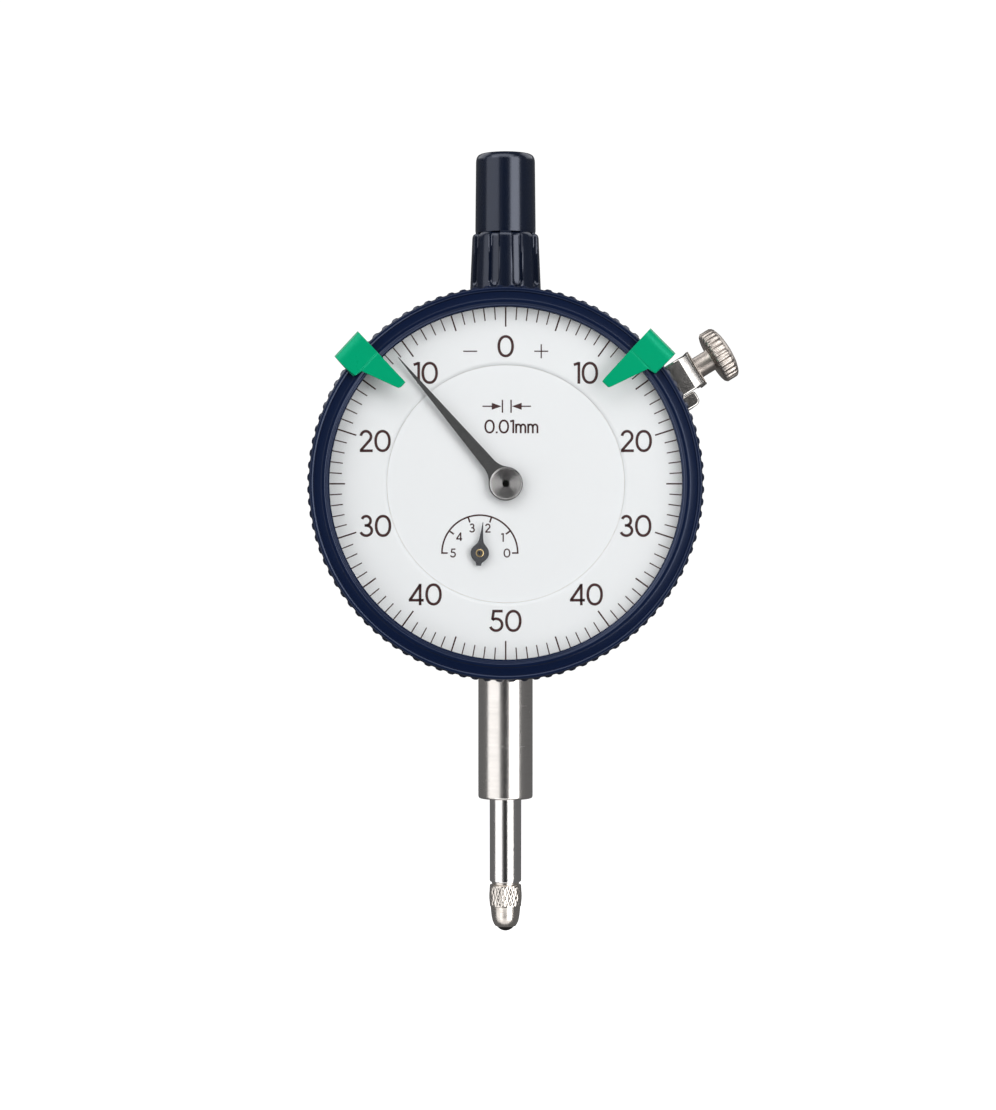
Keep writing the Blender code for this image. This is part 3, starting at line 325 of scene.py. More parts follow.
CAP_PLASTIC = Finish("cap_plastic", "cap_plastic", (0.0036, 0.0075, 0.021), (0.0024, 0.0052, 0.015),
                     smooth=0.17, rough=0.22, grain=6000.0, mottle=500.0, bump_mm=0.0002, bright=0.68,
                     tint=(0.80, 0.85, 1.0))
BALL_STEEL = Finish("contact_steel", "contact_steel", (0.10, 0.09, 0.085), (0.06, 0.055, 0.05), metallic=1.0,
                    smooth=0.12, rough=0.2, mottle=1200.0, bump_mm=0.0005)
HAND_BLACK = Finish("hand_black", "hand_black", (0.060, 0.060, 0.061), (0.030, 0.030, 0.031),
                    smooth=0.5, rough=0.68, grain=11000.0, mottle=5200.0, bump_mm=0.01)
COUNTER_BLACK = Finish("counter_black", "hand_black", (0.082, 0.084, 0.093), (0.035, 0.036, 0.042),
                       smooth=0.4, rough=0.6, grain=9000.0, mottle=3000.0, bump_mm=0.01)
DIAL_WHITE = Finish("dial_white", "dial_white", (0.905, 0.922, 0.93), (0.89, 0.908, 0.917),
                    smooth=0.5, rough=0.58, grain=9000.0, mottle=900.0, bump_mm=0.0002)
PRINT_INK = Finish("print_ink", "dial_white", (0.058, 0.014, 0.013), (0.040, 0.010, 0.010),
                   smooth=0.45, rough=0.6, grain=9000.0, mottle=3000.0, bump_mm=0.001)
RUBBER = Finish("seal_rubber", "seal_rubber", (0.03, 0.03, 0.03), (0.015, 0.015, 0.015),
                smooth=0.7, rough=0.9, bump_mm=0.004)
MARKER_GREEN = Finish("marker_green", "marker_green", (0.0, 0.33, 0.15), (0.0, 0.31, 0.138),
                      smooth=0.26, rough=0.36, grain=2600.0, mottle=240.0, bump_mm=0.0008, bright=0.5,
                      tint=(0.15, 1.0, 0.75))
CRYSTAL = Finish("crystal_clear", "crystal_clear", (0.03, 0.034, 0.034), (0.02, 0.022, 0.022),
                 smooth=0.02, rough=0.05, grain=900.0, mottle=60.0, bump_mm=0.00002, alpha=0.05)


# Mesh making --------------------------------------------------------------------------


class Shape:
    """A mesh under construction whose builders work in a local frame and millimetres."""

    def __init__(self, name: str) -> None:
        """Start an empty shape."""
        self.name = name
        self.bm = bmesh.new()

    def ring(self, axes: Axes, points: Sequence[tuple[float, float, float]]) -> list[bmesh.types.BMVert]:
        """Add vertices at local points and return them."""
        return [self.bm.verts.new(axes.at(*point)) for point in points]

    def join_rings(self, first: list, second: list) -> None:
        """Bridge two rings of vertices, either of which may be one pole vertex."""
        count = max(len(first), len(second))
        for step in range(count):
            after = (step + 1) % count
            if len(first) == 1:
                self.bm.faces.new((first[0], second[step], second[after]))
            elif len(second) == 1:
                self.bm.faces.new((first[step], second[0], first[after]))
            else:
                self.bm.faces.new((first[step], second[step], second[after], first[after]))

    def revolve(self, axes: Axes, profile: Sequence[Point2], segments: int,
                radius: Optional[RadiusRule] = None, closed: bool = False) -> "Shape":
        """Turn a profile about the third direction.

        Args:
            axes: The frame to turn in.
            profile: Points of radius and height.
            segments: How many sides a full turn has.
            radius: A rule that changes the radius by profile index and angle.
            closed: Whether the profile's last point joins its first.

        Returns:
            The same shape.
        """
        rings: list[list] = []
        for index, (reach, height) in enumerate(profile):
            if reach <= 0.0:
                rings.append(self.ring(axes, [(0.0, 0.0, height)]))
                continue
            points = []
            for step in range(segments):
                angle = math.tau * step / segments
                real = radius(index, reach, angle) if radius else reach
                points.append((real * math.cos(angle), real * math.sin(angle), height))
            rings.append(self.ring(axes, points))
        for first, second in zip(rings, rings[1:]):
            self.join_rings(first, second)
        if closed:
            self.join_rings(rings[-1], rings[0])
        return self

    def extrude(self, axes: Axes, outline: Sequence[Point2], low: float, high: float) -> "Shape":
        """Raise an outline in the first two directions from low to high along the third.

        Args:
            axes: The frame to build in.
            outline: Points round the outline.
            low: The lower height.
            high: The upper height.

        Returns:
            The same shape.
        """
        bottom = self.ring(axes, [(a, b, low) for a, b in outline])
        top = self.ring(axes, [(a, b, high) for a, b in outline])
        self.join_rings(bottom, top)
        self.bm.faces.new(bottom)
        self.bm.faces.new(top)
        return self

    def stroke(self, axes: Axes, path: Sequence[Point2], width: float, low: float, high: float,
               closed: bool = False) -> "Shape":
        """Lay a flat band of constant width along a path.

        Args:
            axes: The frame to build in.
            path: Centre line points in the first two directions.
            width: The band's width.
            low: The lower height.
            high: The upper height.
            closed: Whether the path is a loop.

        Returns:
            The same shape.
        """
        sides: list[list] = []
        count = len(path)
        for index, point in enumerate(path):
            before = path[(index - 1) % count] if closed else path[max(index - 1, 0)]
            after = path[(index + 1) % count] if closed else path[min(index + 1, count - 1)]
            into = Vector((point[0] - before[0], point[1] - before[1]))
            out = Vector((after[0] - point[0], after[1] - point[1]))
            into = into.normalized() if into.length else out.normalized()
            out = out.normalized() if out.length else into
            along = (into + out).normalized()
            across = Vector((-along.y, along.x)) * (width / 2 / max(0.35, along.dot(out)))
            left = (point[0] + across.x, point[1] + across.y)
            right = (point[0] - across.x, point[1] - across.y)
            sides.append(self.ring(axes, [(*left, low), (*right, low), (*right, high), (*left, high)]))
        for first, second in zip(sides, sides[1:]):
            self.join_rings(first, second)
        if closed:
            self.join_rings(sides[-1], sides[0])
        else:
            self.bm.faces.new(sides[0])
            self.bm.faces.new(sides[-1])
        return self

    def drill(self, axes: Axes, reach: float, low: float, high: float) -> "Shape":
        """Cut a round hole along the third direction.

        Args:
            axes: The hole's frame.
            reach: The hole's radius.
            low: Where the cut starts.
            high: Where the cut ends.

        Returns:
            The same shape.
        """
        cutter = Shape("hole_cutter")
        cutter.revolve(axes, [(0.0, low), (reach, low), (reach, high), (0.0, high)], 48)
        pieces = []
        for shape in (self, cutter):
            bmesh.ops.recalc_face_normals(shape.bm, faces=shape.bm.faces)
            mesh = bpy.data.meshes.new(shape.name)
            shape.bm.to_mesh(mesh)
            pieces.append(bpy.data.objects.new(shape.name, mesh))
            bpy.context.scene.collection.objects.link(pieces[-1])
        cutter.bm.free()
        cut = pieces[0].modifiers.new("hole", "BOOLEAN")
        cut.object = pieces[1]
        cut.operation = "DIFFERENCE"
        cut.solver = "EXACT"
        graph = bpy.context.evaluated_depsgraph_get()
        drilled = bpy.data.meshes.new_from_object(pieces[0].evaluated_get(graph))
        self.bm.clear()
        self.bm.from_mesh(drilled)
        bpy.data.meshes.remove(drilled)
        for piece in pieces:
            bpy.data.meshes.remove(piece.data)
        return self

    def finish(self, finish: Finish, body: str, replaces: Sequence[str] = (), sharp: float = 35.0,
               bevel_mm: float = 0.0, pivot: Optional[Vector] = None) -> bpy.types.Object:
        """Turn the shape into a dressed piece that rides on a body.

        Args:
            finish: The surface finish.
            body: The CAD body that the piece moves with.
            replaces: CAD nodes that the piece stands for.
            sharp: Angle in degrees above which an edge stays sharp.
            bevel_mm: Width of a bevel on the sharp edges.
            pivot: Origin of the object and of ring patterns, in metres.

        Returns:
            The finished object.
        """
        origin = pivot if pivot is not None else Vector((0.0, 0.0, 0.0))
        bmesh.ops.remove_doubles(self.bm, verts=self.bm.verts, dist=1e-8)
        bmesh.ops.recalc_face_normals(self.bm, faces=self.bm.faces)
        bmesh.ops.translate(self.bm, verts=self.bm.verts, vec=-origin)
        mesh = bpy.data.meshes.new(self.name)
        self.bm.to_mesh(mesh)
        self.bm.free()
        mesh.shade_smooth()
        mesh.set_sharp_from_angle(angle=math.radians(sharp))
        mesh.materials.append(finish.material())
        piece = bpy.data.objects.new(self.name, mesh)
        piece.location = origin
        bpy.context.scene.collection.objects.link(piece)
        if bevel_mm:
            bevel = piece.modifiers.new("soft_edges", "BEVEL")
            bevel.width = bevel_mm * MM
            bevel.segments = 3
            bevel.limit_method = "ANGLE"
            bevel.angle_limit = math.radians(sharp)
        piece.modifiers.new("even_shading", "WEIGHTED_NORMAL").keep_sharp = True
        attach(piece, body)
        if replaces:
            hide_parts(*replaces)
        LOG.info("%s: %d faces on %s", self.name, len(mesh.polygons), body)
        return piece


def arc(centre: Point2, reach: Point2, start: float, end: float, steps: int) -> list[Point2]:
    """Return points along an ellipse's arc.

    Args:
        centre: The ellipse's centre.
        reach: Its two half widths.
        start: First angle in degrees, counter-clockwise from the right.
        end: Last angle in degrees.
        steps: How many stretches the arc has.

    Returns:
        The arc's points, ends included.
    """
    points = []
    for step in range(steps + 1):
        angle = math.radians(start + (end - start) * step / steps)
        points.append((centre[0] + reach[0] * math.cos(angle), centre[1] + reach[1] * math.sin(angle)))
    return points


def rounded_corner(before: Point2, corner: Point2, after: Point2, reach: float,
                   steps: int = 6) -> list[Point2]:
    """Return the points of one rounded corner.

    Args:
        before: The corner before it.
        corner: The corner.
        after: The corner after it.
        reach: How far from the corner the rounding starts.
        steps: Stretches in the rounding.

    Returns:
        Points from one side of the corner to the other.
    """
    a, b, c = Vector(before), Vector(corner), Vector(after)
    start = b + (a - b).normalized() * min(reach, (a - b).length * 0.45)
    end = b + (c - b).normalized() * min(reach, (c - b).length * 0.45)
    points = []
    for step in range(steps + 1):
        t = step / steps
        point = start * (1 - t) ** 2 + b * (2 * t * (1 - t)) + end * t ** 2
        points.append((point.x, point.y))
    return points


def rounded(points: Sequence[Point2], reach: float) -> list[Point2]:
    """Round an outline's corners.

    Args:
        points: The outline's corners.
        reach: How far from a corner the rounding starts.

    Returns:
        The rounded outline.
    """
    result: list[Point2] = []
    count = len(points)
    for index in range(count):
        before, corner, after = (points[(index + k) % count] for k in (-1, 0, 1))
        result += rounded_corner(before, corner, after, reach, 4)
    return result


# Lettering ----------------------------------------------------------------------------


class Numeral(Enum):
    """The characters that the dial carries, drawn as strokes a cap height tall."""

    ZERO = "0"
    ONE = "1"
    TWO = "2"
    THREE = "3"
    FOUR = "4"
    FIVE = "5"
    POINT = "."
    EM = "m"

    def width(self) -> float:
        """Return the character's width in cap heights."""
        widths = {"0": 0.735, "1": 0.29, "2": 0.60, "3": 0.60, "4": 0.69, "5": 0.62, ".": 0.13, "m": 0.80}
        return widths[self.value]

    def strokes(self) -> list[tuple[list[Point2], bool]]:
        """Return the character's centre lines and whether each is a loop."""
        if self is Numeral.ZERO:
            loop = []
            for step in range(48):
                angle = math.tau * step / 48
                c, s = math.cos(angle), math.sin(angle)
                loop.append((0.3675 + 0.3175 * math.copysign(abs(c) ** 0.93, c),
                             0.5 + 0.45 * math.copysign(abs(s) ** 0.93, s)))
            return [(loop, True)]
        if self is Numeral.ONE:
            flag = [(0.0, 0.875), (0.09, 0.90), (0.235, 0.955)]
            return [([(0.235, 0.0), (0.235, 1.0)], False), (flag, False)]
        if self is Numeral.TWO:
            bend = arc((0.285, 0.70), (0.235, 0.25), 172.0, -38.0, 20)
            return [(bend + [(0.055, 0.075)], False), ([(0.0, 0.05), (0.60, 0.05)], False)]
        if self is Numeral.THREE:
            upper = arc((0.275, 0.735), (0.205, 0.215), 158.0, -90.0, 18)
            lower = arc((0.275, 0.285), (0.26, 0.235), 90.0, -162.0, 20)
            return [([*upper, (0.20, 0.52)], False), (lower, False)]
        if self is Numeral.FOUR:
            return [([(0.52, 0.93), (0.055, 0.245)], False), ([(0.0, 0.235), (0.69, 0.235)], False),
                    ([(0.525, 0.0), (0.525, 0.99)], False)]
        if self is Numeral.FIVE:
            bowl = arc((0.275, 0.325), (0.28, 0.275), 128.0, -160.0, 24)
            back = [(0.165, 0.95), (0.105, 0.545), *bowl[:1]]
            return [([(0.10, 0.95), (0.58, 0.95)], False), (back, False), (bowl, False)]
        if self is Numeral.POINT:
            return [([(0.065, 0.0), (0.065, 0.13)], False)]
        arches = [([(0.055, 0.0), (0.055, 0.70)], False)]
        for start in (0.055, 0.40):
            arches.append((arc((start + 0.1725, 0.45), (0.1725, 0.205), 180.0, 0.0, 12)
                           + [(start + 0.345, 0.0)], False))
        return arches


@dataclass
class Lettering:
    """Draws short texts on a flat face.

    Args:
        axes: The face's frame.
        low: Height of the print's front.
        high: Height of its back.
        gap: Space between characters in cap heights.
    """

    axes: Axes
    low: float
    high: float
    gap: float = 0.085

    def text(self, shape: Shape, words: str, centre: Point2, height: float, weight: float) -> None:
        """Add a text centred on a point.

        Args:
            shape: The mesh that the text joins.
            words: The characters.
            centre: The text's middle.
            height: Its cap height.
            weight: Stroke width over cap height.
        """
        glyphs = [Numeral(letter) for letter in words]
        total = sum(glyph.width() for glyph in glyphs) + self.gap * (len(glyphs) - 1)
        pen = -total / 2
        for glyph in glyphs:
            for path, loop in glyph.strokes():
                real = [(centre[0] + (pen + a) * height, centre[1] + (b - 0.5) * height) for a, b in path]
                shape.stroke(self.axes, real, weight * height, self.low, self.high, loop)
            pen += glyph.width() + self.gap


# Bezel and dial -----------------------------------------------------------------------


@dataclass
class Bezel:
    """The turning bezel with its stepped front and its ribbed rim.

    Args:
        ribs: How many ribs the rim has.
        rib_height: How far a rib stands out.
        rib_share: A rib's share of its pitch.
        rib_shares: The ribs' height at each of the rim's levels, front to back.
        per_rib: Sides that each rib's pitch is divided into.
        valley: Radius between the ribs.
        lip: Radius of the opening round the crystal.
        inside: Radius of the bore behind the lip.
        skirt: Radius of the wall behind the ribs.
        rib_front: Depth at which the ribs' straight part starts.
        rib_back: Depth at which it ends.
        skirt_back: Depth of the ribs' back face.
    """

    ribs: int = 100
    rib_height: float = 0.25
    rib_share: float = 0.62
    rib_shares: tuple[float, ...] = (0.35, 1.0, 1.0, 1.0, 0.6)
    per_rib: int = 10
    valley: float = 28.03
    lip: float = 25.03
    inside: float = 26.2
    skirt: float = 27.3
    rib_front: float = -9.4
    rib_back: float = -7.0
    skirt_back: float = -6.3

    def profile(self, front: float, back: float) -> list[Point2]:
        """Return the section from the lip over the front and round to the bore."""
        return [
            (self.lip, front + 0.55), (self.lip, front + 0.34), (25.12, front + 0.22), (25.28, front + 0.13),
            (25.42, front + 0.22), (25.50, front + 0.20), (25.64, front + 0.04), (25.76, front),
            (26.1, front + 0.02), (26.18, front + 0.42), (26.24, front + 0.74), (26.34, front + 0.76),
            (27.24, front + 0.76), (27.30, front + 0.55), (27.40, front + 0.48), (27.60, front + 0.43),
            (27.74, front + 0.42), (27.84, front + 0.45), (27.92, front + 0.60), (27.95, front + 0.95),
            (self.valley, front + 1.12), (self.valley, front + 1.35), (self.valley, self.rib_front),
            (self.valley, self.rib_back), (self.valley, self.skirt_back - 0.3), (27.9, self.skirt_back),
            (self.skirt, self.skirt_back), (self.skirt, back), (self.inside, back),
            (self.inside, front + 0.65),
        ]

    def rib(self, angle: float) -> float:
        """Return how far the ribs stand out at an angle."""
        place = (angle * self.ribs / math.tau) % 1.0 - 0.5
        share = abs(place) / (self.rib_share / 2)
        return self.rib_height * math.sqrt(max(0.0, 1.0 - share ** 2.6))

    def build(self) -> None:
        """Make the bezel, which casts no shadow because the studio's light is meant to be wider."""
        axes = dial_axes()
        profile = self.profile(*depth("bezel_ring"))
        first = [reach for reach, _ in profile].index(self.valley)
        shares = dict(enumerate(self.rib_shares, start=first))

        def ribbed(index: int, reach: float, angle: float) -> float:
            """Return the rim's radius with its ribs on it."""
            return reach + self.rib(angle) * shares[index] if index in shares else reach

        shape = Shape("bezel_turned")
        shape.revolve(axes, profile, self.ribs * self.per_rib, ribbed, closed=True)
        bezel = shape.finish(NAVY, "bezel", ["bezel_ring"], sharp=50.0, pivot=axes.origin)
        bezel.visible_shadow = False


@dataclass
class DialFace:
    """The turning dial ring, the sunk middle disc and everything printed on them.

    Args:
        axes: The dial's frame.
        face: Depth of the ring's front.
        low_face: Depth of the middle disc's front.
        divisions: How many divisions a turn has.
        ring_reach: The ring's radius.
        step: Radius of the middle disc.
        tick_end: Outer end of every division line.
        tick_starts: Inner ends of the short, middle and long lines.
        tick_widths: Widths of the short lines and of the others.
        print_height: How far the print stands proud.
        numeral_height: Cap height of the dial's numbers.
        numeral_weight: Their stroke over their height.
        sign_place: How far across and up the two signs are.
        unit_place: How far across and up the unit mark's middle is.
        counter_reach: Radius of the counter's half circle.
        counter_line: Width of its lines.
    """

    axes: Axes = field(default_factory=dial_axes)
    face: float = field(default_factory=lambda: depth("dial_ring")[0])
    low_face: float = field(default_factory=lambda: depth("inner_dial")[0])
    divisions: int = 100
    ring_reach: float = 26.05
    step: float = 17.0
    tick_end: float = 25.5
    tick_starts: tuple[float, float, float] = (23.46, 22.96, 22.46)
    tick_widths: tuple[float, float] = (0.165, 0.215)
    print_height: float = 0.012
    numeral_height: float = 3.10
    numeral_weight: float = 0.126
    sign_place: Point2 = (5.08, 18.95)
    unit_place: Point2 = (0.15, 11.1)
    counter_reach: float = 5.42
    counter_line: float = 0.235

    def build(self) -> None:
        """Make the dial and its print."""
        self.plates()
        self.ticks()
        self.numerals()
        self.unit_mark()
        self.counter_scale()

    def plates(self) -> None:
        """Make the ring and the disc, whose step is a small rounded fall."""
        face, low_face, step = self.face, self.low_face, self.step
        profile = [
            (step + 0.02, face + 0.4), (step + 0.02, face + 0.26), (step + 0.16, face + 0.13),
            (step + 0.40, face + 0.03), (step + 0.64, face), (self.ring_reach, face),
            (self.ring_reach, face + 0.4),
        ]
        ring = Shape("dial_outer_plate")
        ring.revolve(self.axes, profile, 240, closed=True)
        ring.finish(DIAL_WHITE, "bezel", ["dial_ring"], pivot=self.axes.origin)
        disc = Shape("dial_middle_plate")
        bore, reach, back = 0.9, step - 0.01, low_face + 0.35
        rim = [(bore, low_face), (reach, low_face), (reach, back), (bore, back)]
        disc.revolve(self.axes, rim, 240, closed=True)
        disc.finish(DIAL_WHITE, "case", ["inner_dial"], pivot=self.axes.origin)

    def ink(self, name: str, low: bool = False) -> tuple[Shape, float, float]:
        """Start a printed piece and return it with its front and back heights."""
        face = self.low_face if low else self.face
        return Shape(name), face - self.print_height, face + 0.004

    def ticks(self) -> None:
        """Print the hundred division lines."""
        shape, low, high = self.ink("dial_divisions")
        for index in range(self.divisions):
            angle = math.tau * index / self.divisions
            rank = 2 if index % 10 == 0 else 1 if index % 5 == 0 else 0
            width = self.tick_widths[min(rank, 1)]
            ends = (self.tick_starts[rank], self.tick_end)
            path = [(reach * math.sin(angle), reach * math.cos(angle)) for reach in ends]
            shape.stroke(self.axes, path, width, low, high)
        shape.finish(PRINT_INK, "bezel")

    def numerals(self) -> None:
        """Print the numbers and the two signs of the turning ring."""
        shape, low, high = self.ink("dial_numbers")
        pen = Lettering(self.axes, low, high)
        size, weight = self.numeral_height, self.numeral_weight
        pen.text(shape, "0", (0.0, 19.67), size, weight)
        pen.text(shape, "50", (0.0, -19.6), size, weight)
        sides = {"10": (11.45, 15.86), "20": (18.67, 6.12), "30": (18.6, -6.02), "40": (11.52, -15.82)}
        for words, (across, rise) in sides.items():
            pen.text(shape, words, (across, rise), size, weight)
            pen.text(shape, words, (-across, rise), size, weight)
        across, rise = self.sign_place
        half, line = 1.0, 0.18
        for place in (-across, across):
            shape.stroke(self.axes, [(place - half, rise), (place + half, rise)], line, low, high)
        shape.stroke(self.axes, [(across, rise - half), (across, rise + half)], line, low - 0.002, high)
        shape.finish(PRINT_INK, "bezel")

    def unit_mark(self) -> None:
        """Print the division's value: two arrows closing on two bars, with the value under them."""
        shape, low, high = self.ink("dial_unit_mark", low=True)
        middle_x, level = self.unit_place
        for side in (-1.0, 1.0):
            bar = middle_x + side * 0.62
            shape.stroke(self.axes, [(bar, level - 0.93), (bar, level + 0.93)], 0.2, low, high)
            tip, tail = bar + side * 0.12, bar + side * 2.85
            shape.stroke(self.axes, [(tip + side * 0.8, level), (tail, level)], 0.18, low, high)
            head = [(tip, level), (tip + side * 1.4, level + 0.5), (tip + side * 1.4, level - 0.5)]
            shape.extrude(self.axes, head, low - 0.002, high)
        Lettering(self.axes, low, high, gap=0.10).text(shape, "0.01mm", (0.82, 8.2), 1.92, 0.14)
        shape.finish(PRINT_INK, "case")

    def counter_scale(self) -> None:
        """Print the revolution counter's half circle, its ticks and its six digits."""
        shape, low, high = self.ink("counter_scale", low=True)
        hub = middle("counter_arbor") - self.axes.origin
        centre = (hub.x / MM, hub.z / MM)
        reach, line = self.counter_reach, self.counter_line
        shape.stroke(self.axes, arc(centre, (reach, reach), 0.0, 180.0, 72), line, low, high)
        pen = Lettering(self.axes, low, high)
        digit_places = ((3.88, 0.0), (3.92, 34.5), (3.75, 72.0), (3.75, 107.0), (3.78, 141.5), (3.82, 180.0))
        for digit, (digit_reach, digit_angle) in enumerate(digit_places):
            angle = math.radians(36.0 * digit)
            path = [(centre[0] + r * math.cos(angle), centre[1] + r * math.sin(angle))
                    for r in (reach - 0.82, reach + line / 2)]
            shape.stroke(self.axes, path, line, low - 0.002, high)
            turn = math.radians(digit_angle)
            spot = (centre[0] + digit_reach * math.cos(turn), centre[1] + digit_reach * math.sin(turn))
            pen.text(shape, str(digit), spot, 1.24, 0.155)
        shape.finish(PRINT_INK, "case")


@dataclass
class Hands:
    """The main pointer with its turned hub, and the counter's small hand with its bush.

    Args:
        axes: The dial's frame.
        pointer_angle: The pointer's turn, counter-clockwise from up.
        pointer_reach: How far its tip is from the arbor.
        hub_rim: Radius of the pointer's root.
        hub_disc: Radius of the turned disc on it.
        hub_grooves: How many turned steps the disc has.
        counter_angle: The counter hand's turn.
    """

    axes: Axes = field(default_factory=dial_axes)
    pointer_angle: float = math.radians(40.4)
    pointer_reach: float = 23.65
    hub_rim: float = 2.43
    hub_disc: float = 2.33
    hub_grooves: int = 26
    counter_angle: float = math.radians(-5.9)

    def build(self) -> None:
        """Make both hands."""
        self.pointer()
        self.hub()
        self.counter_hand()

    def turned(self, points: Sequence[Point2], angle: float) -> list[Point2]:
        """Return points of along and across turned to a hand's direction, counter-clockwise from up."""
        c, s = math.cos(angle), math.sin(angle)
        return [(-along * s + across * c, along * c + across * s) for along, across in points]

    def pointer(self) -> None:
        """Make the needle, whose root flares into the hub's rim."""
        front, back = depth("main_pointer")
        flare = 50.0
        join = math.radians(flare)
        root = (3.55, 0.93)
        side = [(self.pointer_reach, 0.05), (self.pointer_reach - 6.0, 0.33), root]
        end = (self.hub_rim * math.cos(join), self.hub_rim * math.sin(join))
        control = (2.42, 1.04)
        for step in range(1, 7):
            t = step / 6
            side.append(tuple(root[k] * (1 - t) ** 2 + control[k] * 2 * t * (1 - t) + end[k] * t * t
                              for k in (0, 1)))
        around = arc((0.0, 0.0), (self.hub_rim, self.hub_rim), flare, 360.0 - flare, 48)
        outline = side + around[1:-1] + [(along, -across) for along, across in reversed(side)]
        shape = Shape("pointer_needle")
        shape.extrude(self.axes, self.turned(outline, self.pointer_angle), front, back)
        shape.finish(HAND_BLACK, "centre_arbor", ["main_pointer"], bevel_mm=0.04)

    def hub(self) -> None:
        """Make the hub's turned disc and the end of the arbor in it."""
        front, back = depth("pointer_hub")
        profile = [(0.0, back), (self.hub_disc - 0.03, back), (self.hub_disc, back - 0.03),
                   (self.hub_disc - 0.02, front + 0.05), (self.hub_disc - 0.10, front + 0.01),
                   (self.hub_disc - 0.18, front + 0.03), (self.hub_disc - 0.22, front + 0.045)]
        outer, inner = self.hub_disc - 0.24, 0.56
        for index in range(self.hub_grooves):
            reach = outer + (inner - outer) * index / (self.hub_grooves - 1)
            profile.append((reach, front + (0.047 if index % 2 else 0.035) + 0.02 * (outer - reach) / outer))
        profile += [(0.5, front + 0.10), (0.0, front + 0.10)]
        shape = Shape("pointer_hub_disc")
        shape.revolve(self.axes, profile, 120)
        shape.finish(HUB_SILVER, "centre_arbor", ["pointer_hub"], sharp=9.0, pivot=self.axes.origin)
        pin = Shape("pointer_pin")
        pin.revolve(self.axes, [(0.0, front + 0.12), (0.46, front + 0.12), (0.46, front + 0.04),
                                (0.40, front - 0.02), (0.2, front - 0.04), (0.0, front)], 40)
        pin.finish(BALL_STEEL, "centre_arbor", pivot=self.axes.origin)

    def counter_hand(self) -> None:
        """Make the small hand with its round body, short tail and brass bush."""
        front, back = depth("counter_hand")
        axes = Axes(Vector((middle("counter_arbor").x, 0.0, middle("counter_arbor").z)), RIGHT, UP, BACK)
        side = [(4.42, 0.05), (3.0, 0.17), (1.9, 0.31), (1.5, 0.42)]
        side += arc((0.0, 0.0), (1.30, 1.32), 42.0, 122.0, 10)
        side += [(-1.08, 0.80), (-1.36, 0.46), (-1.50, 0.40), (-1.76, 0.37), (-1.82, 0.28)]
        outline = side + [(along, -across) for along, across in reversed(side)]
        shape = Shape("counter_needle")
        shape.extrude(axes, self.turned(outline, self.counter_angle), front, back)
        shape.finish(COUNTER_BLACK, "counter_arbor", ["counter_hand"], bevel_mm=0.05)
        bush = Shape("counter_bush")
        bush.revolve(axes, [(0.34, back), (0.56, back), (0.56, front - 0.03), (0.50, front - 0.06),
                            (0.38, front - 0.05), (0.34, front + 0.02)], 36, closed=True)
        bush.finish(BRASS, "counter_arbor")
        pin = Shape("counter_pin")
        pin.revolve(axes, [(0.0, back), (0.33, back), (0.33, front + 0.05), (0.22, front + 0.02),
                           (0.12, front - 0.01), (0.0, front - 0.02)], 30)
        pin.finish(BALL_STEEL, "counter_arbor", ["counter_arbor"])


# Stem, spindle, cap -------------------------------------------------------------------


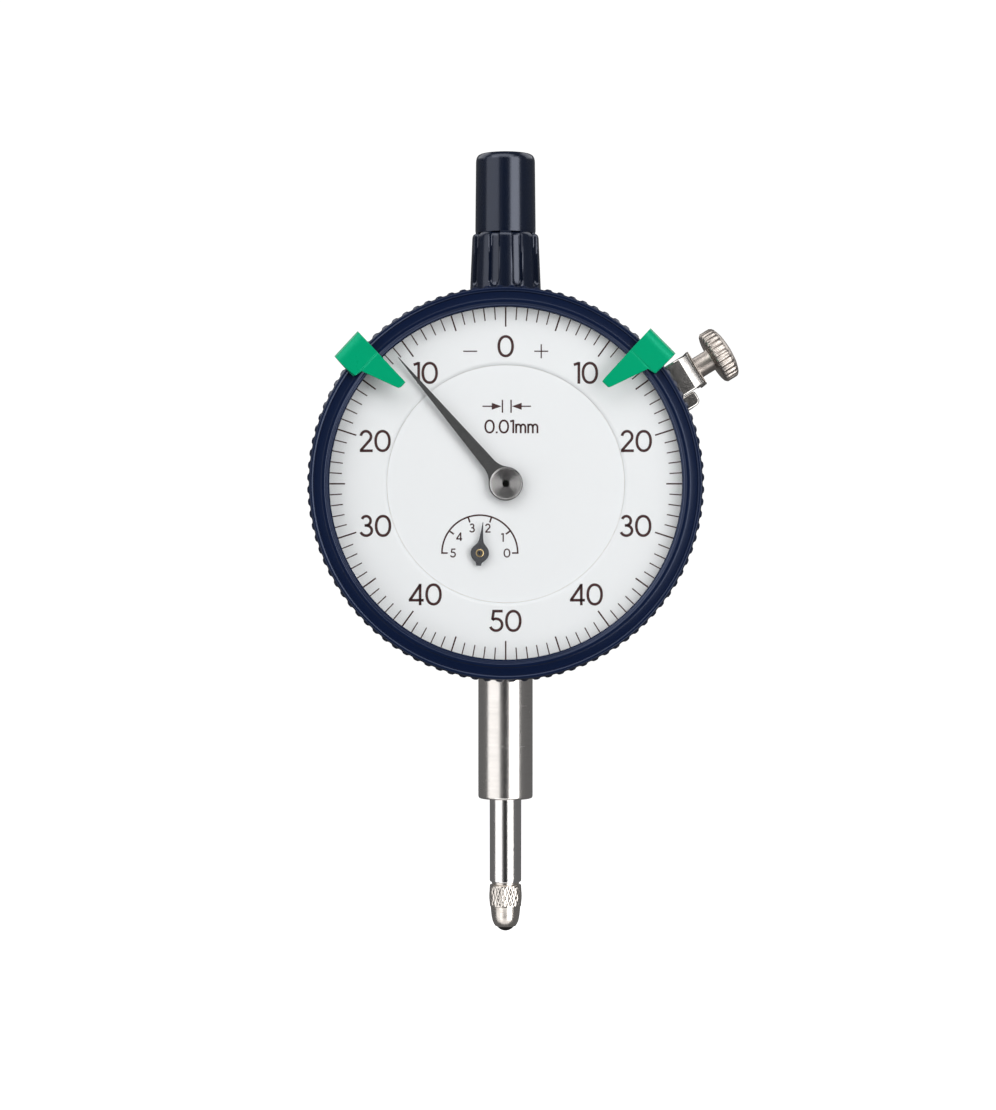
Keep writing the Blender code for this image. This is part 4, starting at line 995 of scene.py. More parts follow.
@dataclass
class Plunger:
    """The stem, the spindle below it and the contact point with its ball.

    Args:
        axes: The spindle's frame.
        stem_reach: The stem's radius.
        stem_bore: Radius of the hole through it.
        spindle_reach: The spindle's radius.
        collar_reach: Radius of the contact point's knurled collar.
        collar_length: From the spindle down to the collar's lower end.
        knurl_turns: How many ridges each way the knurl has.
        knurl_depth: Half its depth.
        knurl_slant: Turn of a ridge's wave in radians for a millimetre of height.
    """

    axes: Axes = field(default_factory=spindle_axes)
    stem_reach: float = 4.0
    stem_bore: float = 3.05
    spindle_reach: float = 2.33
    collar_reach: float = 2.30
    collar_length: float = 3.52
    knurl_turns: int = 20
    knurl_depth: float = 0.0525
    knurl_slant: float = 3.6425

    def build(self) -> None:
        """Make the stem, spindle, contact point and ball."""
        self.stem()
        self.spindle()
        self.contact_point()
        self.ball()

    def stem(self) -> None:
        """Make the ground stem with its chamfered end and bore."""
        low, high = (value.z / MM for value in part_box("stem"))
        reach = self.stem_reach
        bore = self.stem_bore
        profile = [(bore, low + 0.1), (bore + 0.1, low), (reach - 0.28, low), (reach - 0.12, low + 0.06),
                   (reach - 0.03, low + 0.2), (reach, low + 0.4), (reach, low + 8.0), (reach, high),
                   (bore, high)]
        shape = Shape("stem_tube")
        shape.revolve(self.axes, profile, 120, closed=True)
        shape.finish(STEEL_GROUND, "case", ["stem"])

    def spindle(self) -> None:
        """Make the polished rod with its relieved lower end."""
        low, high = (value.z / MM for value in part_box("spindle"))
        reach = self.spindle_reach
        profile = [(0.0, low + 0.1), (reach - 0.3, low), (reach - 0.1, low + 0.05), (reach, low + 0.22),
                   (reach, low + 20.0), (reach, high - 0.4), (reach - 0.4, high), (0.0, high)]
        shape = Shape("spindle_rod")
        shape.revolve(self.axes, profile, 96)
        shape.finish(STEEL_SPINDLE, "spindle", ["spindle"])

    def contact_point(self) -> None:
        """Make the contact point: crossed knurl on its collar, then a plain cone."""
        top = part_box("spindle")[0].z / MM
        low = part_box("contact_point")[0].z / MM
        collar_top, collar_low = top - 0.45, top - self.collar_length
        profile = [(0.0, top + 0.05), (2.0, top + 0.02), (2.0, top - 0.32), (2.16, top - 0.42)]
        rows = 40
        first = len(profile)
        last = first + rows
        step = (collar_top - collar_low) / rows
        for row in range(rows + 1):
            swell = 0.10 * math.sin(math.pi * row / rows)
            profile.append((self.collar_reach + swell, collar_top - step * row))
        profile += [(2.22, collar_low - 0.06), (2.2, collar_low - 0.12), (2.06, low + 1.5),
                    (1.90, low + 0.75), (1.72, low + 0.35), (1.52, low + 0.04), (1.45, low),
                    (0.0, low + 0.02)]

        def knurl(index: int, reach: float, angle: float) -> float:
            """Return the collar's radius under two crossing sets of ridges."""
            if not first <= index <= last:
                return reach
            share = min(1.0, (index - first) / 4, (last - index) / 4)
            climb = (index - first) * step * self.knurl_slant
            turn = self.knurl_turns * angle
            ridge = max(math.cos(turn + climb), math.cos(turn - climb))
            return reach - self.knurl_depth * share * (1.0 - ridge)

        shape = Shape("contact_point_body")
        shape.revolve(self.axes, profile, 240, knurl)
        shape.finish(NICKEL_POINT, "spindle", ["contact_point"], sharp=24.0)

    def ball(self) -> None:
        """Make the contact ball, seated in the point's nose."""
        low, high = (value.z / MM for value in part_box("contact_ball"))
        reach = (high - low) / 2
        profile = [(0.0, low)]
        for step in range(1, 24):
            angle = -math.pi / 2 + math.pi * step / 24
            profile.append((reach * math.cos(angle), low + reach + reach * math.sin(angle)))
        profile.append((0.0, high))
        shape = Shape("contact_ball_round")
        shape.revolve(self.axes, profile, 48)
        shape.finish(BALL_STEEL, "spindle", ["contact_ball"])


@dataclass
class SpindleCap:
    """The moulded cap over the spindle's upper end, with a fluted grip.

    Args:
        bore: Radius of the cap's inside.
        roof: Thickness of its top.
        grip_reach: The grip's radius at its foot.
        grip_taper: How much smaller the grip's radius is at its top.
        flutes: How many flutes the grip has.
        flute_half: Half a flute's width.
        flute_depth: A flute's depth.
        flute_foot: Height above the cap's foot at which the flutes end.
        step_height: From the top of the cap down to the top of the grip.
    """

    bore: float = 3.6
    roof: float = 1.2
    grip_reach: float = 5.30
    grip_taper: float = 0.42
    flutes: int = 9
    flute_half: float = 0.80
    flute_depth: float = 0.62
    flute_foot: float = 2.55
    step_height: float = 11.75

    def build(self) -> None:
        """Make the cap."""
        low, high = (value.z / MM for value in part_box("spindle_cap"))
        step, ceiling = high - self.step_height, high - self.roof
        profile: list[Point2] = [(0.0, ceiling), (self.bore, ceiling), (self.bore, low), (5.26, low)]
        first = len(profile)
        rows = 30
        grip_low, grip_high = low + 0.15, step - 0.55
        for row in range(rows + 1):
            share = row / rows
            height = grip_low + (grip_high - grip_low) * share
            profile.append((self.grip_reach - self.grip_taper * share, height))
        profile += [(4.84, step - 0.36), (4.78, step - 0.18), (4.66, step - 0.06), (4.48, step)]
        last = len(profile) - 1
        profile += [(4.36, step + 0.10), (4.40, step + 0.30), (4.44, step + 0.55), (4.34, high - 1.2),
                    (4.32, high - 0.85), (4.24, high - 0.5), (4.06, high - 0.2), (3.8, high - 0.05),
                    (3.5, high), (0.0, high)]

        def fluted(index: int, reach: float, angle: float) -> float:
            """Return the grip's radius with its flutes."""
            if not first <= index <= last:
                return reach
            return reach - self.flute(reach, angle, profile[index][1] - low)

        shape = Shape("cap_moulding")
        shape.revolve(spindle_axes(), profile, 360, fluted)
        shape.finish(CAP_PLASTIC, "case", ["spindle_cap"], sharp=40.0)

    def flute(self, reach: float, angle: float, rise: float) -> float:
        """Return a flute's depth at a point of the grip.

        Args:
            reach: The grip's radius there.
            angle: The point's angle round the cap.
            rise: Its height above the cap's foot.

        Returns:
            The depth, which is nothing between the flutes and below their round ends.
        """
        pitch = math.tau / self.flutes
        offset = (angle + math.pi / 2) % pitch - pitch / 2
        across = reach * math.sin(offset)
        below = min(0.0, rise - self.flute_foot - self.flute_half)
        away = math.hypot(across, below) / self.flute_half
        if away >= 1.0:
            return 0.0
        edge = min(1.0, (1.0 - away) / 0.18)
        return self.flute_depth * edge * (0.55 + 0.45 * math.sqrt(1.0 - away ** 2))


# Case, clamp, markers -----------------------------------------------------------------


@dataclass
class CaseShell:
    """The case's wall, the back cover with its lug, and the cover screws.

    Args:
        axes: The dial's frame.
        reach: The case's radius.
        bore: Its inside radius.
        ledge: Inside radius of the ledge under the front plate.
        ledge_front: Depth of the ledge's front.
        ledge_back: Depth of its back.
        flange: Inside radius of the flange under the cover.
        flange_front: Depth of the flange's front.
        cover_reach: The back cover's radius.
        cover_thick: The cover's thickness.
        lug_reach: Radius of the lug's round end.
        lug_half: Half the lug's thickness.
        lug_hole: Radius of the lug's hole.
        lug_edge: Width of the lug's chamfers.
        cover_screws: How many screws the cover has.
    """

    axes: Axes = field(default_factory=dial_axes)
    reach: float = 26.0
    bore: float = 24.2
    ledge: float = 22.0
    ledge_front: float = -7.3
    ledge_back: float = -6.5
    flange: float = 21.5
    flange_front: float = 4.75
    cover_reach: float = 25.8
    cover_thick: float = 1.4
    lug_reach: float = 7.5
    lug_half: float = 2.5
    lug_hole: float = 3.25
    lug_edge: float = 0.35
    cover_screws: int = 4

    def build(self) -> None:
        """Make the case's outside."""
        front, back = depth("case_body")
        reach, bore = self.reach, self.bore
        wall = [
            (bore, front), (reach - 0.35, front), (reach, front + 0.3), (reach, -5.2), (reach, -4.9),
            (reach - 0.12, -4.75), (reach - 0.12, -4.55), (reach, -4.4), (reach, back - 1.0),
            (reach - 0.12, back - 0.5), (reach - 0.5, back - 0.12), (reach - 0.9, back), (self.flange, back),
            (self.flange, self.flange_front), (bore, self.flange_front), (bore, self.ledge_back),
            (self.ledge, self.ledge_back), (self.ledge, self.ledge_front), (bore, self.ledge_front),
        ]
        shape = Shape("case_wall")
        shape.revolve(self.axes, wall, 200, closed=True)
        shape.finish(NAVY, "case", ["case_body"], pivot=self.axes.origin)
        self.cover()
        self.lug()
        self.screws()

    def cover(self) -> None:
        """Make the back cover with a shallow turned recess."""
        front = depth("back_cover")[0]
        back = front + self.cover_thick
        profile = [
            (0.0, front), (self.cover_reach - 0.2, front), (self.cover_reach, front + 0.2),
            (self.cover_reach, back - 0.75), (self.cover_reach - 0.15, back - 0.35),
            (self.cover_reach - 0.5, back - 0.08), (self.cover_reach - 0.95, back), (20.2, back),
            (19.9, back - 0.08), (19.7, back - 0.22), (19.3, back - 0.25), (0.0, back - 0.25),
        ]
        shape = Shape("cover_plate")
        shape.revolve(self.axes, profile, 200)
        shape.finish(NAVY, "case", ["back_cover"], pivot=self.axes.origin)

    def lug(self) -> None:
        """Make the hanging lug: a rounded plate with a chamfered hole and a filleted foot."""
        front, back = depth("back_cover")
        centre, reach, edge = back - self.lug_reach, self.lug_reach, self.lug_edge
        foot, fillet_end = front + 0.9, front + 2.2
        fillet = [(foot, -reach - 0.7), (front + 1.5, -reach - 0.25), (fillet_end, -reach)]
        outline = fillet + arc((centre, 0.0), (reach, reach), -90.0, 90.0, 40)
        outline += [(a, -b) for a, b in reversed(fillet)]
        outline += [(foot, (reach + 0.7) * (1.0 - step / 12)) for step in range(1, 24)]
        side_axes = Axes(self.axes.origin, BACK, UP, RIGHT)
        shape = Shape("hanging_lug")
        rings = []
        for height, chamfer in ((-self.lug_half, edge), (edge - self.lug_half, 0.0),
                                (self.lug_half - edge, 0.0), (self.lug_half, edge)):
            outer, inner = [], []
            for a, b in outline:
                away = Vector((a - centre, b)).normalized()
                pull = Vector((0.0, 0.0))
                if a > fillet_end:
                    pull = away * chamfer
                elif a > foot:
                    pull = Vector((0.0, math.copysign(chamfer, b)))
                outer.append((a - pull.x, b - pull.y, height))
                hole = away * (self.lug_hole + chamfer)
                inner.append((centre + hole.x, hole.y, height))
            rings.append((shape.ring(side_axes, outer), shape.ring(side_axes, inner)))
        for first, second in zip(rings, rings[1:]):
            shape.join_rings(first[0], second[0])
            shape.join_rings(first[1], second[1])
        for outer, inner in (rings[0], rings[-1]):
            shape.join_rings(outer, inner)
        shape.finish(NAVY, "case", sharp=40.0)

    def screws(self) -> None:
        """Make the slotted cover screws, whose slots all point different ways."""
        for number in range(1, self.cover_screws + 1):
            node = f"back_screw_{number}"
            centre = middle(node)
            axes = Axes(Vector((centre.x, 0.0, centre.z)), RIGHT, UP, BACK)
            turn = math.radians(25.0 + 47.0 * number)
            slotted_screw(f"cover_screw_{number}", axes, depth(node)[1], head=0.9, reach=1.75, shank=0.75,
                          finish=STEEL_SMALL, body="case", node=node, turn=turn)


def slotted_screw(name: str, axes: Axes, top: float, head: float, reach: float, shank: float,
                  finish: Finish, body: str, node: str, turn: float = 0.0) -> None:
    """Make a slotted pan-head screw whose head faces along the third direction.

    Args:
        name: The piece's name.
        axes: The screw's frame.
        top: Height of the head's top.
        head: Height of the head.
        reach: The head's radius.
        shank: The shank's radius.
        finish: The surface finish.
        body: The body that it rides on.
        node: The CAD node that it stands for.
        turn: Angle of the slot in radians.
    """
    half = 0.17 * reach
    floor = top - 0.45 * head
    shape = Shape(name)
    seat = top - head
    sides = 24
    for side in (0.0, math.pi):
        levels = []
        for radius, height in ((reach, seat), (reach, top - 0.4 * head), (0.95 * reach, top - 0.16 * head),
                               (0.80 * reach, top)):
            points = []
            for step in range(sides + 1):
                limit = math.asin(half / radius)
                angle = turn + side + limit + (math.pi - 2 * limit) * step / sides
                points.append((radius * math.cos(angle), radius * math.sin(angle), height))
            levels.append(shape.ring(axes, points))
        for first, second in zip(levels, levels[1:]):
            shape.join_rings(first, second)
        shape.bm.faces.new(levels[-1])
        shape.bm.faces.new(levels[0])
    shape.revolve(axes, [(0.0, seat - 1.5), (shank, seat - 1.5), (shank, seat), (0.9 * reach, seat),
                         (0.93 * reach, floor), (0.0, floor)], 36)
    shape.finish(finish, body, [node], sharp=30.0)


@dataclass(frozen=True)
class MarkerPlan:
    """One marker's place and its outline seen from the front.

    Args:
        node: The marker's CAD node and body.
        degrees: Its place, counter-clockwise from the top.
        side: Plus one when its block lies on the left of its tongue, minus one when on the right.
        rows: Distance out, straight edge and block edge, from the tip outwards.
    """

    node: str
    degrees: float
    side: float
    rows: tuple[tuple[float, float, float], ...]

    def edge(self, out: float, column: int) -> float:
        """Return an edge's place at a distance out, read between the rows."""
        for first, last in zip(self.rows, self.rows[1:]):
            if out <= last[0]:
                share = max(0.0, (out - first[0]) / (last[0] - first[0]))
                return self.side * (first[column] + (last[column] - first[column]) * share)
        return self.side * self.rows[-1][column]


@dataclass
class LimitMarkers:
    """The two moulded markers that clip over the bezel's rim.

    Args:
        plans: The markers' outlines.
        wall: Radius inside the marker's wall.
        outer: Radius outside it.
        hook: Radius of the hook's end behind the bezel.
    """

    plans: tuple[MarkerPlan, ...] = (
        MarkerPlan("marker_left", 47.2, 1.0, (
            (20.12, 0.80, -0.05), (20.3, 0.86, -0.42), (20.9, 0.90, -0.66), (25.78, 1.24, -2.24),
            (26.02, 1.26, -3.52), (26.25, 1.28, -3.62), (30.1, 1.56, -3.30))),
        MarkerPlan("marker_right", -45.2, -1.0, (
            (19.85, 0.58, -0.55), (20.0, 0.66, -0.72), (20.5, 0.70, -0.92), (25.72, 0.93, -2.72),
            (25.92, 0.94, -3.84), (26.15, 0.95, -3.95), (30.1, 1.12, -3.92))),
    )
    wall: float = 28.75
    outer: float = 30.1
    hook: float = 27.6

    def section(self, front: float, back: float, tip: float) -> list[Point2]:
        """Return the section along the radius: tongue, bevelled shoulder, wall and hook."""
        under = front + 0.70
        return [
            (tip, under), (tip, front + 0.42), (tip + 0.2, front + 0.26), (tip + 0.7, front + 0.22),
            (25.70, front + 0.10), (25.80, front + 0.17), (25.90, front + 0.17),
            (25.98, front + 0.09), (28.4, front), (self.outer - 1.3, front),
            (self.outer - 0.75, front + 0.10), (self.outer - 0.3, front + 0.36),
            (self.outer - 0.06, front + 0.74), (self.outer, front + 1.1),
            (self.outer, back - 0.3), (self.outer - 0.3, back), (self.hook, back), (self.hook, back - 0.65),
            (self.wall, back - 0.65), (self.wall, under), (26.2, under), (25.98, under), (25.72, under),
            (tip + 0.7, under), (tip + 0.2, under),
        ]

    def build(self) -> None:
        """Make both markers."""
        for plan in self.plans:
            self.marker(plan)

    def marker(self, plan: MarkerPlan) -> None:
        """Make one marker."""
        angle = math.radians(plan.degrees)
        outward = Vector((-math.sin(angle), 0.0, math.cos(angle)))
        across = Vector((math.cos(angle), 0.0, math.sin(angle)))
        axes = Axes(dial_axes().origin, outward, BACK, across)
        front, back = depth(plan.node)
        section = self.section(front, back, plan.rows[0][0])
        shape = Shape(f"{plan.node}_moulding")
        edges = []
        for column in (1, 2):
            points = [(out, deep, plan.edge(out, column)) for out, deep in section]
            edges.append(shape.ring(axes, points))
        shape.join_rings(edges[0], edges[1])
        caps = [shape.bm.faces.new(edge) for edge in edges]
        bmesh.ops.triangulate(shape.bm, faces=caps)
        shape.finish(MARKER_GREEN, plan.node, [plan.node], sharp=24.0, bevel_mm=0.07)


@dataclass
class BezelClamp:
    """The bezel's clamp: base with its ear, bent bracket, shoe, fixing screw and thumbscrew.

    Args:
        angle: The clamp's place, counter-clockwise from the right.
        screw_depth: Depth of the thumbscrew's axis.
        screw_hole: Radius of its hole.
        fixing_depth: Depth of the fixing screw's axis.
        bracket_half: Half the bracket's width.
        bend: Depth of the bracket's bend.
        sheet: The bracket's thickness.
        head_reach: Radius of the thumbscrew's head.
        head_thick: Thickness of its head under the dome.
        ridges: How many ridges the head has.
        ridge_height: Half their height.
        out: Direction outwards through the clamp.
        side: Direction across it.
        origin: The dial's centre.
    """

    angle: float = math.radians(31.5)
    screw_depth: float = -0.7
    screw_hole: float = 1.65
    fixing_depth: float = 2.2
    bracket_half: float = 2.55
    bend: float = 1.45
    sheet: float = 0.8
    head_reach: float = 4.12
    head_thick: float = 2.45
    ridges: int = 28
    ridge_height: float = 0.11
    out: Vector = field(init=False)
    side: Vector = field(init=False)
    origin: Vector = field(init=False)

    def __post_init__(self) -> None:
        """Work out the clamp's directions from its angle."""
        self.out = Vector((math.cos(self.angle), 0.0, math.sin(self.angle)))
        self.side = Vector((-math.sin(self.angle), 0.0, math.cos(self.angle)))
        self.origin = dial_axes().origin

    def build(self) -> None:
        """Make the clamp."""
        self.base()
        self.bracket()
        self.screws()
        self.thumbscrew()

    def span(self, node: str) -> tuple[float, float]:
        """Return how far out from the dial's centre a node starts and ends."""
        vertices = frame["nodes"][node].data.vertices
        reach = [(vertex.co - self.origin).dot(self.out) / MM for vertex in vertices]
        return min(reach), max(reach)

    def base(self) -> None:
        """Make the base, whose ear shows below the bracket."""
        low, high = self.span("clamp_base")
        front, back = depth("clamp_base")
        foot, ear, head = -4.65, -2.6, 3.2
        slab = low + 1.95
        corners = [(low, foot), (high, foot), (high, ear), (slab, ear), (slab, head), (low, head)]
        outline = [corners[0], *rounded_corner(*corners[0:3], 1.0), *rounded_corner(*corners[1:4], 0.5),
                   *corners[3:]]
        shape = Shape("clamp_base_block")
        shape.extrude(Axes(self.origin, self.out, self.side, BACK), outline, front, back)
        shape.drill(self.screw_axes(), self.screw_hole, low - 1.0, high + 1.0)
        shape.finish(NICKEL_PLATE, "case", ["clamp_base"], sharp=30.0, bevel_mm=0.3)

    def screw_axes(self) -> Axes:
        """Return the frame that the thumbscrew and the shoe turn in."""
        return Axes(self.origin + BACK * self.screw_depth * MM, BACK, self.side, self.out)

    def bracket(self) -> None:
        """Make the bent sheet bracket with its wide bend at the front corner."""
        low, high = self.span("clamp_bracket")
        front, back = depth("clamp_bracket")
        thick, bend = self.sheet, self.bend
        outer = [(low, back - 0.6), (low, front + 0.4), (low + 0.4, front), (high - 1.95, front),
                 (high - 1.6, front + 0.05), (high - 0.6, front + 0.47), (high - 0.25, front + 0.75),
                 (high, front + 1.3), (high, back)]
        inner = [(high - thick, back)]
        inner += arc((high - bend, front + bend), (bend - thick, bend - thick), 0.0, -90.0, 8)
        inner += [(low + thick, front + thick), (low + thick, back - 0.6)]
        shape = Shape("clamp_bracket_sheet")
        half = self.bracket_half
        shape.extrude(Axes(self.origin, self.out, BACK, self.side), outer + inner, -half, half)
        shape.drill(self.screw_axes(), self.screw_hole, low - 1.0, high + 1.0)
        shape.finish(NICKEL_PLATE, "case", ["clamp_bracket"], sharp=30.0, bevel_mm=0.22)
        lip = Shape("clamp_flange_rim")
        rim_axes = Axes(self.origin, self.side, BACK, self.out)
        corners = [(-half - 0.05, front + bend), (half + 0.05, front + bend), (half + 0.05, back + 0.05),
                   (-half - 0.05, back + 0.05)]
        lip.stroke(rim_axes, rounded(corners, 0.5), 0.3, high - 0.25, high + 0.05, closed=True)
        lip.finish(NICKEL, "case", sharp=40.0)

    def screws(self) -> None:
        """Make the fixing screw and the shoe."""
        low, high = self.span("clamp_fixing_screw")
        axes = Axes(self.origin + BACK * self.fixing_depth * MM, BACK, self.side, self.out)
        slotted_screw("clamp_fixing_head", axes, high, head=0.7, reach=1.2, shank=0.7, finish=STEEL_SMALL,
                      body="case", node="clamp_fixing_screw", turn=0.6)
        low, high = self.span("clamp_shoe")
        reach, edge = 1.5, 0.15
        profile = [(0.0, low), (reach - edge, low), (reach, low + edge), (reach, high - edge),
                   (reach - edge, high), (0.0, high)]
        shape = Shape("clamp_shoe_pad")
        shape.revolve(self.screw_axes(), profile, 48)
        shape.finish(BRASS, "clamp_shoe", ["clamp_shoe"])

    def thumbscrew(self) -> None:
        """Make the thumbscrew with straight ridges round its head."""
        low, high = self.span("clamp_thumbscrew")
        top = high - 0.3
        seat = top - self.head_thick
        reach = self.head_reach
        profile = [(0.0, low), (1.5, low), (1.6, low + 0.1), (1.6, seat - 0.35), (1.7, seat - 0.1),
                   (2.0, seat), (reach - 0.75, seat), (reach - 0.42, seat + 0.12), (reach - 0.2, seat + 0.4),
                   (reach - 0.2, seat + 0.9), (reach - 0.2, top - 0.5), (reach - 0.32, top - 0.2),
                   (reach - 0.55, top), (reach - 0.9, top + 0.16), (reach - 1.6, top + 0.38),
                   (reach - 2.6, top + 0.53), (0.0, high)]
        shares = {7: 0.4, 8: 1.0, 9: 1.0, 10: 1.0, 11: 0.6, 12: 0.15}

        def ridged(index: int, radius: float, angle: float) -> float:
            """Return the head's radius with its straight ridges."""
            if index not in shares:
                return radius
            wave = math.cos(self.ridges * angle)
            return radius + self.ridge_height * shares[index] * math.copysign(abs(wave) ** 0.7, wave)

        shape = Shape("thumbscrew_turned")
        shape.revolve(self.screw_axes(), profile, self.ridges * 12, ridged)
        shape.finish(NICKEL, "clamp_thumbscrew", ["clamp_thumbscrew"], sharp=40.0)


# Movement and carried-over nodes ------------------------------------------------------


@dataclass
class Movement:
    """The finishes of the CAD nodes, which show wherever no piece stands for a node.

    Args:
        finishes: The finish of each material slot.
    """

    finishes: dict[str, Finish] = field(default_factory=lambda: {
        "bright_steel": STEEL_SMALL, "warm_nickel": NICKEL, "movement_brass": BRASS, "blued_spring": BLUED,
        "seal_rubber": RUBBER, "crystal_clear": CRYSTAL, "navy_enamel": NAVY, "dial_white": DIAL_WHITE,
        "turned_silver": HUB_SILVER, "cap_plastic": CAP_PLASTIC, "contact_steel": BALL_STEEL,
        "hand_black": HAND_BLACK, "marker_green": MARKER_GREEN,
    })

    def dress(self) -> None:
        """Give every CAD node the finish of its slot."""
        slots = {part["node"]: part["material_slot"] for part in frame["record"]["subparts"]}
        for node, piece in frame["nodes"].items():
            finish = self.finishes[slots[node]]
            piece.data.materials.clear()
            piece.data.materials.append(finish.material())
            LOG.info("%s: %s", node, finish.name)


# Studio -------------------------------------------------------------------------------


@dataclass(frozen=True)
class SoftBox:
    """A rectangular studio light aimed at the indicator.

    Args:
        name: The light's name.
        turn: Degrees to the right of the camera.
        lift: Degrees above the horizon.
        width: Its width in metres.
        height: Its height in metres.
        radiance: How bright its face is.
        away: Its distance from the indicator in metres.
    """

    name: str
    turn: float
    lift: float
    width: float
    height: float
    radiance: float
    away: float = 0.6

    def place(self, target: Vector) -> None:
        """Add the light, facing the target."""
        turn, lift = math.radians(self.turn), math.radians(self.lift)
        level = math.cos(lift)
        direction = Vector((math.sin(turn) * level, -math.cos(turn) * level, math.sin(lift)))
        light = bpy.data.lights.new(self.name, "AREA")
        light.shape = "RECTANGLE"
        light.size, light.size_y = self.width, self.height
        light.energy = self.radiance * math.pi * self.width * self.height
        lamp = bpy.data.objects.new(self.name, light)
        lamp.location = target + direction * self.away
        lamp.rotation_euler = direction.to_track_quat("Z", "Y").to_euler()
        lamp.visible_camera = False
        bpy.context.scene.collection.objects.link(lamp)


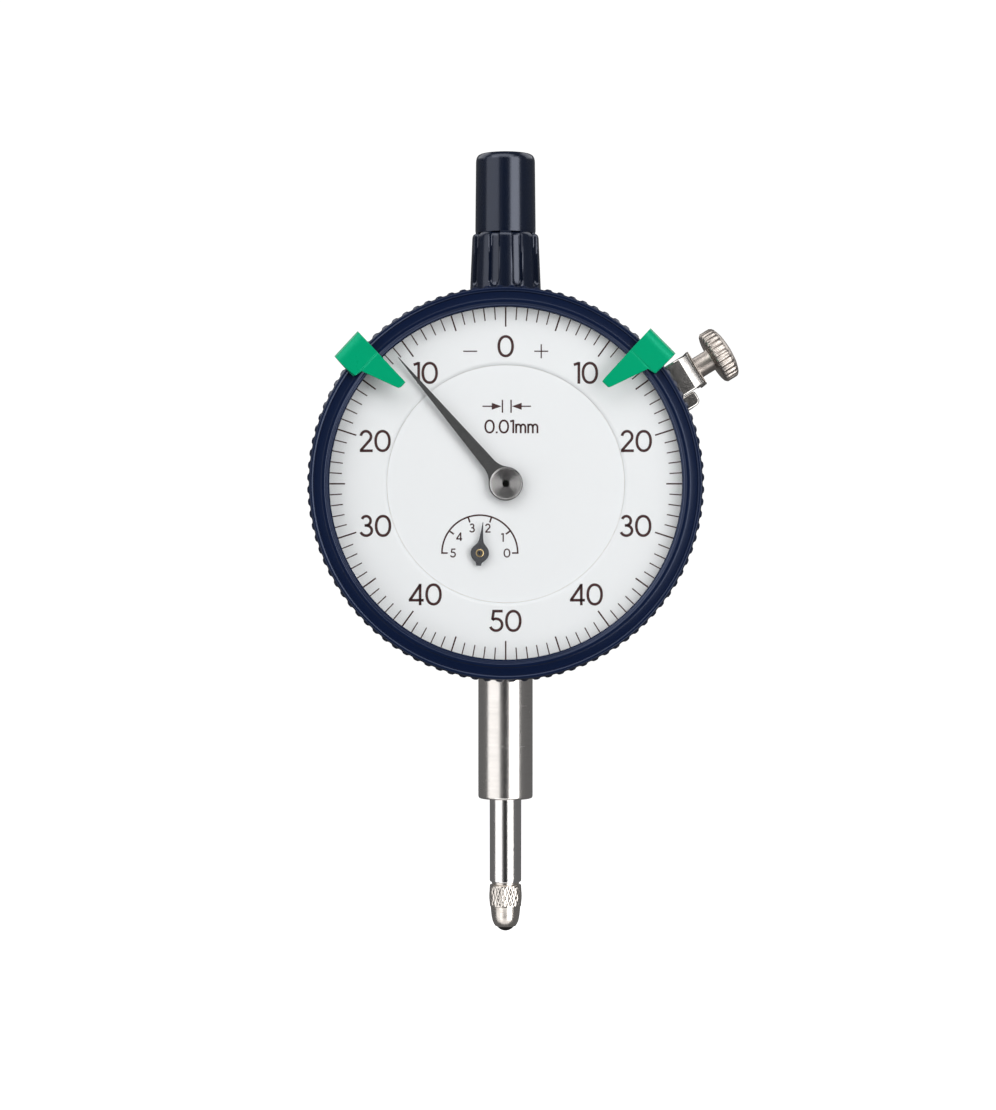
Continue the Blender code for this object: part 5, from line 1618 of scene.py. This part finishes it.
@dataclass
class Studio:
    """Camera, lights, pale floor and surroundings.

    Args:
        distance: From the camera to the spindle's depth in metres.
        camera_x: The camera's place across, in metres.
        camera_below_dial: How far it is under the dial's centre, in metres.
        lens: The lens in millimetres.
        aim_height: Height that the lights aim at, in metres.
        white: How bright the room looks to the camera.
        dim: How bright it is as a light and as a reflection.
        floor_drop: From the lowest point down to the floor, in metres.
        floor_reach: The floor's radius in millimetres.
        flag_depth: How far the flag hangs in front of the spindle, in metres.
        flag_across: The flag's left and right edges in millimetres.
        flag_rise: Its lower and upper edges in millimetres.
        soft_boxes: The lights.
    """

    distance: float = 0.370
    camera_x: float = -0.0011
    camera_below_dial: float = 0.01018
    lens: float = 81.6
    aim_height: float = 0.03
    white: float = 1.05
    dim: float = 0.15
    floor_drop: float = 0.055
    floor_reach: float = 900.0
    flag_depth: float = 0.62
    flag_across: Point2 = (-125.0, 105.0)
    flag_rise: Point2 = (-260.0, 330.0)
    soft_boxes: tuple[SoftBox, ...] = (
        SoftBox("right_panel", 37.0, -5.0, 0.40, 0.76, 3.7),
        SoftBox("left_panel", -52.0, -5.0, 0.62, 0.86, 1.2),
        SoftBox("top_panel", -14.0, 42.0, 0.9, 0.32, 2.35),
        SoftBox("low_panel", -6.0, -46.0, 0.8, 0.3, 1.0),
        SoftBox("right_rim_panel", 116.0, 40.0, 0.5, 0.4, 1.5),
        SoftBox("left_rim_panel", -116.0, 40.0, 0.5, 0.4, 1.5),
    )

    def build(self) -> None:
        """Make the studio."""
        self.camera()
        self.surroundings()
        self.floor()
        self.flag()
        for box in self.soft_boxes:
            box.place(UP * self.aim_height)

    def camera(self) -> None:
        """Place the camera straight in front of the indicator."""
        centre = middle("dial_ring")
        data = bpy.data.cameras.new("camera")
        data.lens = self.lens
        data.sensor_width = 36.0
        data.clip_start = 0.01
        camera = bpy.data.objects.new("camera", data)
        camera.location = (self.camera_x, -self.distance, centre.z - self.camera_below_dial)
        camera.rotation_euler = (math.radians(90.0), 0.0, 0.0)
        bpy.context.scene.collection.objects.link(camera)
        bpy.context.scene.camera = camera

    def surroundings(self) -> None:
        """Make the room: white where it is seen, dim grey where it lights and is reflected."""
        scene = bpy.context.scene
        scene.view_settings.view_transform = "Standard"
        world = bpy.data.worlds.new("studio")
        world.use_nodes = True
        scene.world = world
        tree = world.node_tree
        seen = tree.nodes["Background"]
        seen.inputs["Color"].default_value = (1.0, 1.0, 1.0, 1.0)
        seen.inputs["Strength"].default_value = self.white
        dim = tree.nodes.new("ShaderNodeBackground")
        dim.inputs["Color"].default_value = (0.97, 0.98, 1.0, 1.0)
        dim.inputs["Strength"].default_value = self.dim
        path = tree.nodes.new("ShaderNodeLightPath")
        mix = tree.nodes.new("ShaderNodeMixShader")
        tree.links.new(path.outputs["Is Camera Ray"], mix.inputs["Fac"])
        tree.links.new(dim.outputs[0], mix.inputs[1])
        tree.links.new(seen.outputs[0], mix.inputs[2])
        tree.links.new(mix.outputs[0], tree.nodes["World Output"].inputs["Surface"])

    def plain(self, name: str, colour: Colour, glow: float) -> bpy.types.Material:
        """Return a plain studio surface with a faint unevenness."""
        board = NodeBoard(name)
        cloud = board.noise(board.place(Pattern.EVEN), 6.0, 2.0)
        darker = tuple(value * 0.985 for value in colour)
        tint = board.ramp(cloud, darker, colour)
        board.link(tint, board.shader.inputs["Base Color"])
        board.link(tint, board.shader.inputs["Emission Color"])
        board.shader.inputs["Emission Strength"].default_value = glow
        board.shader.inputs["Roughness"].default_value = 0.9
        return board.material

    def floor(self) -> None:
        """Lay a round pale floor under the indicator."""
        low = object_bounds()[0][2]
        shape = Shape("studio_floor")
        axes = Axes(UP * (low - self.floor_drop), RIGHT, BACK, UP)
        reach = self.floor_reach
        shape.revolve(axes, [(0.0, 0.0), (reach, 0.0), (reach + 5.0, -4.0), (0.0, -6.0)], 96)
        self.stage_piece(shape, self.plain("pale_floor", (0.95, 0.95, 0.95), 0.9))

    def flag(self) -> None:
        """Hang a narrow dark flag behind the camera, so that polished metal has a dark line."""
        shape = Shape("dark_flag")
        axes = Axes(UP * self.aim_height - BACK * self.flag_depth, RIGHT, UP, BACK)
        (left, right), (low, high) = self.flag_across, self.flag_rise
        shape.extrude(axes, [(left, low), (right, low), (right, high), (left, high)], -4.0, 0.0)
        self.stage_piece(shape, self.plain("flag_black", (0.02, 0.02, 0.022), 0.0))

    def stage_piece(self, shape: Shape, material: bpy.types.Material) -> None:
        """Add a stage piece: the camera sees the floor only, and reflections show the flag only."""
        bmesh.ops.recalc_face_normals(shape.bm, faces=shape.bm.faces)
        mesh = bpy.data.meshes.new(shape.name)
        shape.bm.to_mesh(mesh)
        shape.bm.free()
        mesh.materials.append(material)
        piece = bpy.data.objects.new(shape.name, mesh)
        bpy.context.scene.collection.objects.link(piece)
        flag = shape.name == "dark_flag"
        piece.visible_glossy = flag
        piece.visible_camera = not flag
        piece.visible_diffuse = False
        piece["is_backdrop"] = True


def main() -> None:
    """Build every sub-assembly in order."""
    logging.basicConfig(level=logging.INFO, format="%(name)s: %(message)s")
    Movement().dress()
    for maker in (Bezel(), DialFace(), Hands(), Plunger(), SpindleCap(), CaseShell(), LimitMarkers(),
                  BezelClamp(), Studio()):
        LOG.info("building %s", type(maker).__name__)
        maker.build()


if __name__ == "__main__":
    main()
